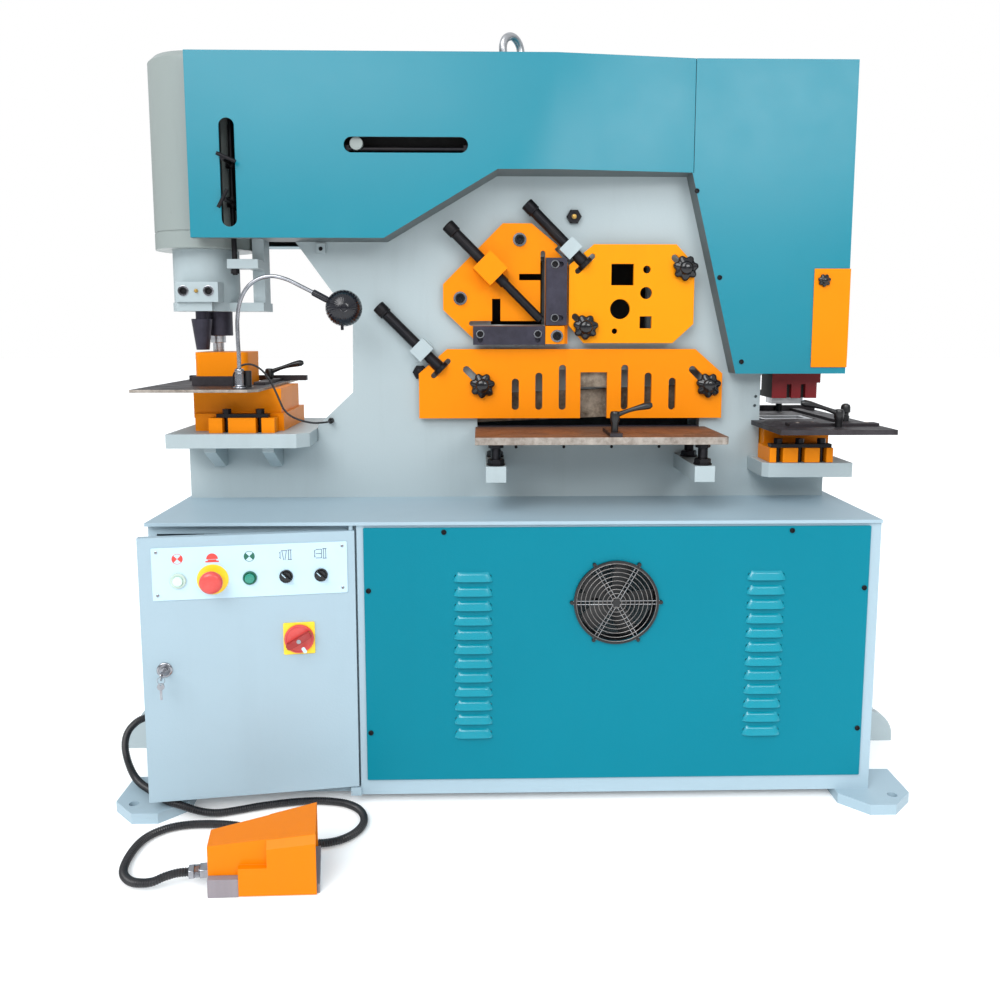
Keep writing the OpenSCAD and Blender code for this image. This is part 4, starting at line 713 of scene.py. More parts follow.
def evenLine(points, step):
    out, carried = [points[0]], 0.0
    for a, b in zip(points, points[1:]):
        span = (b - a).length
        at = step - carried
        while at <= span:
            out.append(a.lerp(b, at / span))
            at += step
        carried = (carried + span) % step
    if (out[-1] - points[-1]).length > step * 0.3:
        out.append(points[-1])
    else:
        out[-1] = points[-1]
    return out


# Cords: their sizes in metres, and their routes from end to end in millimetres
hoseForm = {
    "diameter": 0.018,
    "ribStep": 0.0052,
    "ribDepth": 0.0015,
}
hoseRoute = [mm(*p) for p in (
    (-866, -270, 180), (-880, -270, 180), (-913, -270, 170), (-940, -270, 143),
    (-950, -270, 108), (-943, -277, 72), (-923, -296, 45), (-897, -321, 35), (-867, -349, 35),
    (-836, -378, 35), (-803, -404, 35), (-766, -420, 32), (-728, -424, 21), (-690, -417, 12),
    (-648, -403, 10), (-605, -388, 10), (-560, -376, 10), (-515, -368, 10), (-472, -365, 10),
    (-434, -369, 10), (-398, -380, 10), (-368, -403, 10), (-351, -436, 10), (-349, -473, 10),
    (-364, -507, 10), (-391, -531, 10), (-427, -542, 10), (-468, -538, 10), (-510, -522, 10),
    (-550, -502, 10), (-592, -482, 10), (-640, -466, 10), (-690, -460, 10), (-740, -462, 10),
    (-782, -476, 10), (-813, -507, 10), (-825, -550, 10), (-824, -606, 10), (-812, -646, 10),
    (-783, -675, 12), (-744, -686, 18), (-717, -682, 27), (-693, -678, 32),
    (-669.5, -674.3, 32))]
cableForm = {
    "diameter": 0.005,
}
cableRoute = [mm(*p) for p in (
    (-690, -150, 973), (-690, -150, 988), (-686, -151, 1004), (-676, -152, 1018),
    (-660, -154, 1027), (-640, -156, 1027), (-622, -157, 1018), (-607, -158, 1003),
    (-595, -158, 984), (-585, -157, 962), (-576, -155, 939), (-567, -152, 917),
    (-550, -151, 900), (-525, -145, 888), (-499, -133, 881), (-479, -117, 880),
    (-468, -98, 880), (-465, -79, 880))]


def makeHose():
    line = smoothLine(hoseRoute, 6)
    spots = evenLine(line, hoseForm["ribStep"] / 2)
    full = hoseForm["diameter"] / 2
    radii = [full if i % 2 else full - hoseForm["ribDepth"] for i in range(len(spots))]
    bm = bmesh.new()
    tubeMesh(bm, spots, radii, 14)
    piece = place("ribbedHose", finishMesh(bm, "ribbedHose", 40), "frame", "hose_rubber",
                  ["hoseRubber"])
    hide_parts("foot_hose")
    print("hose length", round(lineLength(line), 3))


def makeCable():
    line = smoothLine(cableRoute, 4)
    curve = bpy.data.curves.new("lampCable", "CURVE")
    curve.dimensions = "3D"
    curve.bevel_depth = cableForm["diameter"] / 2
    curve.bevel_resolution = 3
    curve.use_fill_caps = True
    spline = curve.splines.new("POLY")
    spline.points.add(len(line) - 1)
    for point, spot in zip(spline.points, line):
        point.co = (*spot, 1)
    piece = place("lampCable", curve, "frame", "hose_rubber", ["hoseRubber"])
    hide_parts("lamp_cable")
    print("cable length", round(lineLength(line), 3))


makeHose()
makeCable()
print("cords made")


# Frame and covers
for piece in ("frontPlate", "rearPlate"):
    dressed(piece, "frame_paint", ["framePaint"], 1.5)
dressed("baseCabinet", "frame_paint", ["cabinetPaint"], 1.6)
dressed("rearPanel", "cover_paint", ["panelPaint"], 1.0)
# Downward faces of the left cover and left-facing faces of the right cover take a darker grey:
# painted shade on the flanges and the gap
dressed("leftCover", "cover_paint", ["coverPaint", "flangeShadeGrey"], 1.6,
        spot=lambda c, n: int(n.z < -0.3 and abs(n.y) < 0.3))
dressed("rightCover", "cover_paint", ["coverPaint", "flangeShadeGrey"], 1.6,
        spot=lambda c, n: int(n.x < -0.3 and abs(n.y) < 0.3 and c.z < 1745))
dressed("rearCover", "cover_paint", ["coverPaint", "shadowBlack"], 1.6,
        spot=lambda c, n: int(n.y < -0.5 and c.y > 60))
dressed("sideGuard", "guard_paint", ["guardPaint"], 1.0)
for piece in ("punchCylinder", "shearCylinder"):
    dressed(piece, "frame_paint", ["cylinderPaint"], 2.5, steps=3)
dressed("shearRod", "bright_steel", ["brightSteel"], 1.0)
dressed("shearBeam", "frame_paint", ["framePaint", "mottledSteel"], 1.5,
        spot=lambda c, n: int(c.y < -30.5 or c.z < 922 + 0.052 * (c.x + 95)))
dressed("liftingEye", "bright_steel", ["brightSteel"], 0.8)

frontSheet = {
    "x": (-349, 814),
    "z": (63, 666),
    "face": -372,
    "thick": 6,
    "fanAt": (229, 490),
    "fanHole": 94,
    "louverColumns": (-145, 530),
    "louverWidth": 90,
    "louverTop": 549,
    "louverPitch": 34,
    "louverRows": 12,
    "louverProud": 9,
    "louverSkin": 1.2,
    "slot": (84, 14.8),
    "slotDrop": 0.4,
}


def louverSpots():
    for x in frontSheet["louverColumns"]:
        for row in range(frontSheet["louverRows"]):
            yield (x + frontSheet["louverWidth"] / 2,
                   frontSheet["louverTop"] - row * frontSheet["louverPitch"])


# One pressed louver: a hood that swells towards its open lower lip
def louver(bm, x, z, look=0):
    across, down = 22, 10
    half, top, low = frontSheet["louverWidth"] / 2, 13.0, -7.6
    proud, skin = frontSheet["louverProud"], frontSheet["louverSkin"]
    base = front(x, frontSheet["face"] + 0.1, z)

    def row(v, inset, depth):
        wide = half - inset - 11 * (1 - v) ** 1.6
        rise = proud * (0.45 * min(1.0, v / 0.2) ** 0.7 + 0.55 * v)
        made = []
        for i in range(across + 1):
            u = -cos(pi * i / across)
            lift = rise * max(0.0, 1 - abs(u) ** 6) ** 0.7 - depth
            made.append(bm.verts.new(base @ Vector((u * wide, top + (low - top) * v,
                                                    max(lift, -skin)))))
        return made
    outer = [row(j / down, 0.0, 0.0) for j in range(down + 1)]
    inner = [row(j / down, skin, skin) for j in range(down + 1)]
    grid = outer + inner[::-1]
    for a, b in zip(grid, grid[1:]):
        for i in range(across):
            bm.faces.new((a[i], b[i], b[i + 1], a[i + 1])).material_index = look


def makeFrontPanel():
    def sheet(bm):
        holes = [shifted(disc(frontSheet["fanHole"], 96), *frontSheet["fanAt"])]
        wide, high = frontSheet["slot"]
        for x, z in louverSpots():
            holes.append(shifted(oblong(wide / 2, high / 2, 3, 2), x,
                                 z - frontSheet["slotDrop"]))
        face = -frontSheet["face"]
        cutPlate(bm, panel(frontSheet["x"], frontSheet["z"], 2.5, 3), holes,
                 face - frontSheet["thick"], face, front(0, 0, 0), 0, 0.8)
    build("frontPanel", sheet, "cover_paint", ["panelPaint"])

    def hoods(bm):
        for x, z in louverSpots():
            louver(bm, x, z)
    # The louvers, pressed from the panel, take a lighter copy of its paint: painted light
    build("louvers", hoods, "cover_paint", ["litLouverPaint"], 60, body="frame")


makeFrontPanel()
print("frame and covers dressed")

# Punch and notch stations
dressed("dieShelves", "frame_paint", ["framePaint"], 1.5)
for piece in ("punchDieHolder", "notchDieHolder"):
    dressed(piece, "guard_paint", ["guardPaint"], 1.5)
dressed("dieClamps", "black_steel", ["blackSteel"], 1.0)
dressed("punchTable", "table_steel", ["darkTable", "wornEdge"], 0.8,
        spot=lambda c, n: int(abs(n.z) < 0.6))
dressed("notchTable", "table_steel", ["darkTable"], 0.8)
dressed("punchRam", "frame_paint", ["framePaint"], 1.2, frontLimit=-112)
dressed("punchTooling", "black_steel", ["darkBlade", "brightSteel"], 0.8,
        spot=lambda c, n: int(c.z < 1095.5 and c.y > -15))
dressed("notchPunch", "tool_red", ["toolRed", "brightSteel", "shadowBlack"], 1.0,
        spot=lambda c, n: 1 if c.z < 933.5 else (2 if c.x < 701 or 718 < c.x < 730
                                                 or 755 < c.x < 767 else 0))
dressed("tripRod", "black_steel", ["framePaint", "blackSteel"], 0.8,
        spot=lambda c, n: int(hypot(c.x + 687, c.y + 105) < 12.8
                              and not 1261.2 < c.z < 1283.8))
for piece in ("tripCollarUpper", "tripCollarLower"):
    dressed(piece, "black_steel", ["blackSteel"], 0.8)

clampScrews = {
    "columns": (-814, -752),
    "height": 1207,
    "face": -112,
    "radius": 9,
    "washer": 13.4,
    "greaseNipple": -782,
}


def ramScrews(bm):
    rim = clampScrews["washer"]
    for x in clampScrews["columns"]:
        base = front(x, clampScrews["face"], clampScrews["height"])
        turned(bm, [(6, 0), (rim - 0.4, 0), (rim, 0.4), (rim, 1.2), (rim - 1.2, 1.6),
                    (rim - 2, 0.9), (rim - 2.8, 0.9), (rim - 3.4, 1.4), (6, 1.4)], base, 40, 1,
               capped=False)
        capScrew(bm, base, clampScrews["radius"], 6, 0)
    base = front(clampScrews["greaseNipple"], clampScrews["face"], clampScrews["height"])
    turned(bm, [(5.2, 0), (5.2, 3), (3.2, 4), (2.2, 5.2), (3.2, 6.6), (3.0, 7.8), (1.2, 8),
                (1.0, 7.4), (0, 7.3)], base, 24, 2, hexed(3.5))


build("ramScrews", ramScrews, "black_steel", ["blackSteel", "chrome", "brass"], body="ram")

# Fences and rulers: x, y and z limits. Levers: foot, height of the post, reach, turn
tableFittings = {
    "strips": [((-880, -560), (112, 132), (973, 987)), ((-655, -625), (-90, 112), (973, 980)),
               ((-806, -664), (-101, -80.6), (973, 995)),
               ((665, 885), (-228, -196), (880, 887)), ((665, 885), (196, 221), (880, 894)),
               ((812, 836), (-190, 190), (880, 887)), ((220, 250), (-298, -168), (863, 872))],
    "levers": [(-652, 75, 973, 34, 92, 0), (778, -244, 880, 42, 92, 180),
               (776, 186, 880, 46, 60, 180), (236, -262, 872, 48, 88, 0)],
    "knobFoot": (824, -170, 887),
    "stripScrews": [(690, -212, 887), (860, -212, 887)],
    "tablePins": [(760, -120, 880), (760, 120, 880)],
}


def gauges(bm):
    for x, y, (low, high) in tableFittings["strips"]:
        prism(bm, panel(x, y, 1.2, 2), low, high, at(0, 0, 0), 0, 0.8)
    for lever in tableFittings["levers"]:
        clampLever(bm, *lever)
    turned(bm, [(10, 0), (10, 12), (8, 14), (8, 20), (11.5, 22), (11.5, 34), (9.5, 40),
                (5, 43), (0, 43.5)], at(*tableFittings["knobFoot"]), 28, 1)
    for foot in tableFittings["stripScrews"]:
        capScrew(bm, at(*foot), 5, 1.2, 2)
    for foot in tableFittings["tablePins"]:
        turned(bm, [(4, 0), (4, 0.5), (3.4, 0.8), (0, 0.8)], at(*foot), 20, 2)


build("tableGauges", gauges, "black_steel", ["darkTable", "blackPlastic", "wornEdge"])

lampForm = {
    "place": (-660, -200),
    "tableTop": 973,
    "neckRadius": 5.0,
    "ribStep": 3.2,
    "ribDepth": 0.55,
    "headAt": (-409, -186, 1163),
    "headYaw": 8,
    "headRadius": 43.5,
    "sleeveAt": (-480, -200, 1200.5),
    "sleeveTilt": 118,
    "switchAt": (-411, -206, 1111),
}
neckRoute = [(-660, 1010), (-660, 1050), (-661, 1095), (-660, 1140), (-652, 1180), (-634, 1212),
             (-606, 1232), (-574, 1238), (-540, 1230), (-505, 1213), (-470, 1195), (-446, 1181)]


def lampNeck(bm):
    x, y = lampForm["place"]
    line = evenLine(smoothLine([mm(a, y, b) for a, b in neckRoute], 6),
                    lampForm["ribStep"] * 0.001 / 2)
    full = lampForm["neckRadius"]
    radii = [0.001 * (full if i % 2 else full - lampForm["ribDepth"]) for i in range(len(line))]
    tubeMesh(bm, line, radii, 14, 0)
    base = at(x, y, lampForm["tableTop"])
    turned(bm, [(17, 0), (17, 2.4), (16.2, 3.2), (12.5, 4), (11.6, 6), (11, 8), (11, 34),
                (10.2, 35), (10.2, 37), (11, 38), (11, 44), (9, 46), (6, 46.6), (5, 47)],
           base, 36, 0, capped=False)
    prism(bm, oblong(24, 15, 3), 0, 2.2, at(x + 6, y + 6, lampForm["tableTop"]), 1, 0.6)
    turned(bm, [(9, 0), (9, 40), (8, 41), (0, 41)], at(x + 17, y + 11, lampForm["tableTop"]),
           24, 1)


def lampHead(bm):
    yaw = radians(lampForm["headYaw"])
    base = at(*lampForm["headAt"], toward=(sin(yaw), -cos(yaw), 0))

    def fins(a, z):
        if z < 9 or z > 50:
            return 1.0
        return 1 - 0.03 * abs(sin(16 * a + z * 0.09)) ** 1.5
    wide = lampForm["headRadius"]
    outer = [(40, 0), (wide, 0), (wide, 8), (wide, 14)]
    outer += [(wide * cos(t), 14 + 38.5 * sin(t))
              for t in (radians(6 + 7.6 * k) for k in range(10))]
    outer += [(12.5, 51.4), (12.2, 52.6), (9.6, 53.2), (8.8, 52.6), (7.4, 52.6), (6.6, 53.6),
              (3, 54), (0, 54)]
    turned(bm, outer, base, 192, 0, fins, capped=False)
    turned(bm, [(40, 0), (40, 13), (35.5, 30), (24.5, 42.5), (10, 49), (0, 50)], base, 48, 1,
           capped=False)
    turned(bm, [(0, 49.6), (7, 46), (14, 38), (15, 30), (10, 22), (0, 19)], base, 32, 2)
    tilt = radians(lampForm["sleeveTilt"])
    turned(bm, [(6.5, 0), (8, 1.5), (8, 36), (7, 40), (0, 40)],
           at(*lampForm["sleeveAt"], toward=(sin(tilt), 0, cos(tilt))), 28)
    turned(bm, [(0, 0), (3, 0), (3.6, 1), (3.6, 9), (2.4, 11), (2.4, 15), (0, 15)],
           at(*lampForm["switchAt"]), 20)


build("lampNeck", lampNeck, "chrome", ["chrome", "blackPlastic"], 70)
build("lampHead", lampHead, "black_plastic", ["lampBlack", "chrome", "whiteSwitch"], 40)
print("punch and notch stations dressed")

# Shear stations
dressed("shearTable", "table_steel", ["brownSteel", "wornEdge"], 1.0,
        spot=lambda c, n: int(abs(n.z) < 0.6 and (c.y < -292 or c.x > 490)))
dressed("tableArms", "frame_paint", ["framePaint"], 1.0)
dressed("fixedBlades", "black_steel", ["darkBlade", "brightSteel"], 1.0,
        spot=lambda c, n: int(c.x > 600))
dressed("angleGuard", "guard_paint", ["guardPaint"], 1.2, merged=False)
dressed("screwBlocks", "frame_paint", ["framePaint", "guardPaint"], 1.0,
        spot=lambda c, n: int(-150 < c.x < 100))
dressed("flatGuard", "guard_paint", ["guardPaint"], 1.2)
dressed("barGuard", "guard_paint", ["barGuardPaint"], 1.2)

downRight = (1, 0, -1)
handScrew = {
    "headRadius": 16.5,
    "headLength": 30,
    "radius": 14,
    "pitch": 4.0,
    "depth": 0.9,
    "footRadius": 20,
    "footThick": 10,
}


# A hand screw along its axis: head at -back, end at ahead, with a foot at the middle or a
# plain tip
def handScrewAt(bm, x, y, z, back, ahead, tip=None):
    base = at(x, y, z, downRight)
    r, long = handScrew["headRadius"], handScrew["headLength"]
    turned(bm, [(0, -back), (r - 2, -back), (r, 2 - back), (r, long - 8 - back),
                (r - 0.7, long - 7.4 - back), (r - 0.7, long - 5.6 - back), (r, long - 5 - back),
                (r, long - 2 - back), (r - 2, long - back), (12.6, long + 0.6 - back)],
           base, 40, 0, capped=False)
    threaded(bm, base, handScrew["radius"], long - back, tip or ahead, handScrew["pitch"],
             handScrew["depth"], 0, 24)
    if tip:
        turned(bm, [(12.8, tip - 0.5), (11, tip + 2), (11, ahead - 2), (9.5, ahead), (0, ahead)],
               base, 32)
    else:
        rim, t = handScrew["footRadius"], handScrew["footThick"] / 2
        turned(bm, [(12, -t), (rim - 1, -t), (rim, 1 - t), (rim, t - 1), (rim - 1, t), (0, t)],
               base, 44)


# Middle of each hand screw, how far it reaches back and ahead, and where a plain tip starts
screwSpots = {
    "flatScrew": (-182, -86.5, 1014, 222, 0),
    "barScrew": (180, -97, 1275, 208, 0),
    "angleScrew": (-57, -115, 1262, 150, 178, 52),
}
for piece, spot in screwSpots.items():
    build(piece, lambda bm: handScrewAt(bm, *spot), "black_steel", ["blackSteel"], 38)

knobSpots = {
    "large": [(-77, -88.5, 971, 23.5), (499, -88.5, 971, 23.5), (430, -102.5, 1264, 37.5),
              (182, -102.5, 1118, 37.5)],
    "largeRadius": 32,
    "small": (771, -131, 1233),
    "smallRadius": 16,
}


def knobs(bm):
    for x, y, z, reach in knobSpots["large"]:
        turned(bm, [(15.5, 0), (15.5, 1.6), (9, 1.6), (9, 0)], front(x, y + 0.5, z), 32, 1,
               capped=False)
        starKnob(bm, at(x, y - 1.2, z, (0, -1, 0), 11), knobSpots["largeRadius"], reach)
    starKnob(bm, at(*knobSpots["small"], (0, -1, 0), 11), knobSpots["smallRadius"], 0.5)


build("starKnobs", knobs, "black_plastic", ["knobBlack", "blackSteel"], 50)

# A row of front screws: depth of their face, radius, height, washer and places
fastenerPlan = {
    "pivot": (-236, 1004),
    "pivotRadius": 24.9,
    "frameFace": 65,
    "sideNut": (154, 1393),
    "frontScrews": {
        "guard": (-87, 12, 10, 2.5, [(17, 1335), (-132, 1190)]),
        "corner": (-110, 11, 9, 2.5, [(110, 1096)]),
        "blades": (-112, 7.5, 6, 2.5, [(104, 1141), (104, 1273), (-82, 1101), (62, 1101)]),
        "frontSheet": (-372, 6, 3, 0, [(-166, 656), (631, 656), (-339, 520), (-339, 180),
                                       (804, 520), (804, 180)]),
        "covers": (-128, 6, 3, 0, [(449, 1449), (511, 1240), (572, 1032)]),
        "table": (-65, 4, 2, 0, [(10, 810), (134, 810), (258, 810), (382, 810)]),
    },
    "rearScrews": [(x, 373, z) for x in (-700, 0, 700) for z in (95, 625)],
    "jacks": [(x, y) for x in (-46, 445) for y in (-272, -130)],
    "jackFoot": 786,
    "clip": (-481, 1314.5),
    "crossRod": (-146, 1540),
    "slotDisc": (-376, 1552),
    # Sheets: x limits, depth, z limits and finish. The black ones behind the cover slots are
    # painted shade
    "shadeSheetsAndBacking": [((-698, -640), 82, (1404, 1620), 5), ((-762, -704), 127, (1356, 1620), 5),
                 ((-450, -90), 82, (1518, 1612), 5), ((168, 250), 65.2, (966, 1006), 6)],
}


def hexNut(bm, base, radius, high, bolt):
    turned(bm, [(radius * 0.5, 0), (radius, 0), (radius, high - 1.6), (radius * 0.85, high),
                (radius * 0.52, high)], base, 36, 0,
           hexed(high - 1), capped=False)
    turned(bm, [(radius * 0.55, high - 0.5), (radius * 0.5, high + bolt - 1),
                (radius * 0.4, high + bolt), (0, high + bolt)], base, 28)


# Pins, nuts, screws and threaded jacks; black sheets behind the cover slots are painted shade
def fasteners(bm):
    x, z = fastenerPlan["pivot"]
    r, face = fastenerPlan["pivotRadius"], fastenerPlan["frameFace"]
    turned(bm, [(0, -face), (r, -face), (r, face), (0, face)], at(x, 0, z, (0, 1, 0)), 64, 3)
    hexNut(bm, front(x, -face, z), 19, 10, 1.5)
    hexNut(bm, at(x, face, z, (0, 1, 0)), 19, 10, 1.5)
    x, z = fastenerPlan["sideNut"]
    nut = front(x, -face, z)
    turned(bm, [(15.5, 0), (15.5, 1.6), (9, 1.6)], nut, 36, 0)
    hexNut(bm, front(x, -face - 1, z), 19, 12, 1.2)
    turned(bm, [(6.2, 13), (6.2, 15.2), (4.6, 16), (3.4, 17.5), (4.4, 19), (4.2, 20.4),
                (1.6, 21), (1.2, 20), (0, 20)], nut, 24, 2, lambda a, z: 1.0)
    for depth, radius, high, washer, spots in fastenerPlan["frontScrews"].values():
        for x, z in spots:
            capScrew(bm, front(x, depth, z), radius, high, washer=washer)
    for foot in fastenerPlan["rearScrews"]:
        capScrew(bm, at(*foot, (0, 1, 0)), 6, 4)
    for x, y in fastenerPlan["jacks"]:
        jack = at(x, y, fastenerPlan["jackFoot"])
        threaded(bm, jack, 12, 0, 59, 3.0, 0.8, 0, 22)
        turned(bm, [(12, 8), (21, 8), (22, 9), (22, 11), (21, 12), (12, 12)], jack, 36, 0,
               capped=False)
        turned(bm, [(11, 12), (20, 12), (20, 21.5), (18, 23), (11, 23)], jack, 36, 0,
               hexed(22, 0.96), capped=False)
        turned(bm, [(11, 49), (17, 49), (18, 50), (18, 58.6), (11, 58.8)], jack, 36, 0,
               hexed(59), capped=False)
    x, z = fastenerPlan["clip"]
    prism(bm, shifted(oblong(12, 12.5, 1.2, 2), x, z), face, face + 6, front(0, 0, 0), 3, 0.6)
    capScrew(bm, front(x, -face - 6, z - 1.5), 5, 3)
    y, z = fastenerPlan["crossRod"]
    turned(bm, [(0, -410), (6, -410), (7, -409), (7, -106), (6, -105), (0, -105)],
           at(0, y, z, (1, 0, 0)), 28)
    for x in (-400, -115):
        prism(bm, shifted(oblong(6, 44, 1, 2), x, -109), z - 10, z + 10, at(0, 0, 0), 0, 0.6)
    x, z = fastenerPlan["slotDisc"]
    turned(bm, [(0, 148), (15, 148), (16, 149), (16, 158), (15, 160), (0, 160)],
           front(x, 0, z), 40, 4)
    # Black sheets behind the slots are painted shade
    for x, y, z, look in fastenerPlan["shadeSheetsAndBacking"]:
        prism(bm, panel(x, z, 2, 2), y, y + 2, front(0, 0, 0), look, 0.4)


build("fasteners", fasteners, "black_steel",
      ["blackSteel", "chrome", "brass", "framePaint", "cylinderPaint", "shadowBlack",
       "mottledSteel"], 38, "pins_and_screws")
print("shear stations dressed")

# Cabinet fittings
dressed("hydraulicUnit", "frame_paint", ["framePaint"], 1.0)
dressed("electricsPanel", "bright_steel", ["brightSteel", "controlPlate", "blackPlastic"], 0.6,
        spot=lambda c, n: 0 if c.y > -112.5 else (2 if c.z < 252 else 1))

fanForm = {
    "at": frontSheet["fanAt"],
    "wire": 0.75,
    "rings": [12 + 10 * k for k in range(9)],
    "blades": 5,
    "bladeReach": 88,
    "hub": 28,
    "guardFace": -377,
    "shroudFace": -366,
    "rotorMiddle": -352.2,
    "tabs": 6,
    "tabReach": 103,
    "spokes": (8, 52, 99),
}


def fanGuard(bm):
    x, z = fanForm["at"]
    base = front(x, fanForm["guardFace"], z)
    for radius in fanForm["rings"]:
        ringWire(bm, base, radius, fanForm["wire"], 1.6, 72, 8, 1)
    turned(bm, [(0, 0.4), (9, 0.4), (9, 2.2), (0, 2.6)], base, 32)
    for k in range(fanForm["tabs"]):
        turn = 360 / fanForm["tabs"] * k
        way = Vector((cos(radians(turn)), sin(radians(turn)), 0))
        side = Vector((-way.y, way.x, 0))
        for s in (-4, 4):
            line = [base @ (way * r + side * s + Vector((0, 0, 0.2))) for r in fanForm["spokes"]]
            tubeMesh(bm, line, [0.0008] * 3, 8, 2)
        turned(bm, [(3, -5), (4, -5), (4.3, -4.4), (4.3, 0.6), (3.8, 1.4), (0, 1.8)],
               base @ Matrix.Translation(way * fanForm["tabReach"]), 24)
        prism(bm, shifted(oblong(8, 4.2, 3), 99 * way.x, 99 * way.y, turn), -2, 0.4, base, 0, 0.3)
    turned(bm, [(93, -5), (98, -5), (98, 1.8), (95.5, 2.6), (93, 1.8), (93, -5)], base, 96, 0,
           capped=False)
    shroud = front(x, fanForm["shroudFace"], z)
    turned(bm, [(94, 0), (108, 0), (108, -46), (94, -46), (94, 0)], shroud, 96, 0, capped=False)
    prism(bm, oblong(100, 9, 2), -45, -40, shroud, 0, 0.5)
    turned(bm, [(0, -42), (26, -42), (26, -25), (24, -24), (0, -24)], shroud, 40)


def fanRotor(bm):
    x, z = fanForm["at"]
    base = front(x, fanForm["rotorMiddle"], z)
    turned(bm, [(0, -9.7), (26, -9.7), (28, -8), (28, 7), (25, 9.4), (12, 9.6), (0, 9.2)],
           base, 48)
    count = fanForm["blades"]
    for k in range(count):
        turn = Matrix.Rotation(2 * pi * k / count, 4, "Z")
        rings = []
        for i in range(7):
            t = i / 6
            radius = fanForm["hub"] - 3 + (fanForm["bladeReach"] - fanForm["hub"] + 3) * t
            chord = 15 + 8 * sin(pi * (0.2 + 0.6 * t))
            pitch = radians(30 - 10 * t)
            ring = []
            for s, thick in ((-1, 0.3), (-0.4, 1), (0.4, 1), (1, 0.3), (0.4, -1), (-0.4, -1)):
                c = s * chord
                rise = c * sin(pitch) * 0.75 + (thick + 2.2 * (1 - s * s)) - 1
                ring.append(bm.verts.new(base @ turn @ Vector(
                    (radius, c * cos(pitch) + 6 * t, min(9, max(-9, rise))))))
            rings.append(ring)
        skinned(bm, rings)


build("fanGuard", fanGuard, "black_steel", ["blackPlastic", "wireGrey", "brightSteel"], 45)
build("fanRotor", fanRotor, "black_plastic", ["rotorGrey"], 40)
dressed("doorLeaf", "frame_paint", ["cabinetPaint"], 1.6, node="door")

doorForm = {
    "hinge": (-378, -363),
    "ajar": 8,
    "edge": 8,
    "thick": 18,
    "plate": ((-441, -17), (518, 637)),
    "buttonHeight": 562,
    "iconHeight": 611,
    "white": -386,
    "stop": -312,
    "green": -232,
    "selectors": (-153, -76),
    "mainSwitch": (-128, 416),
    "lock": (-423, 359),
}
doorFrame = (moved(*doorForm["hinge"]) @ spun(doorForm["ajar"])
             @ moved(doorForm["edge"], -doorForm["thick"] / 2))


# A frame on the door's face: X along the door, Y up, Z out of the face
def onDoor(x, z, out=0.0, spin=0.0):
    return doorFrame @ moved(x, -out, z) @ spun(90, "X") @ spun(spin) @ shrink


def bar(bm, base, x0, y0, x1, y1, wide, look, low=0.0, high=0.35):
    long = hypot(x1 - x0, y1 - y0) / 2
    turn = degrees(atan2(y1 - y0, x1 - x0))
    prism(bm, shifted(oblong(long + wide / 2, wide / 2, wide * 0.4, 2), (x0 + x1) / 2,
                      (y0 + y1) / 2, turn), low, high, base, look)


def bowTie(bm, x, look):
    base = onDoor(x, doorForm["iconHeight"], 2)
    turned(bm, [(10.9, 0), (10.9, 0.35), (11.9, 0.35), (11.9, 0)], base, 40, look, capped=False)
    for start in (-45, 135):
        prism(bm, disc(11.2, 16, start, 90), 0, 0.4, base, look)


# Strokes of the signs over the two selectors, from one point to another, with their width
signStrokes = {
    "lever": [(5, -11, 13, -11, 1.3), (5, 11, 13, 11, 1.3), (6.5, -11, 6.5, 11, 1.2),
              (11.5, -11, 11.5, 11, 1.2), (-13.6, -5, -11.4, -7.5, 1.0),
              (-13.6, 5, -11.4, 7.5, 1.0)],
    "left": [(-8, 10, -6, -2, 1.2), (-6, -2, -4.6, -11, 1.2), (2, 10, 0, -2, 1.2),
             (0, -2, -1.4, -11, 1.2), (-9, 10, 3, 10, 1.2), (-12, -8, -12, 6, 1.2)],
    "right": [(-10, -10, 2, -10, 1.2), (-10, 0, 2, 0, 1.2), (-10, 10, 2, 10, 1.2),
              (2, -10, 2, 10, 1.2), (-13, -8, -13, 8, 1.2)],
}


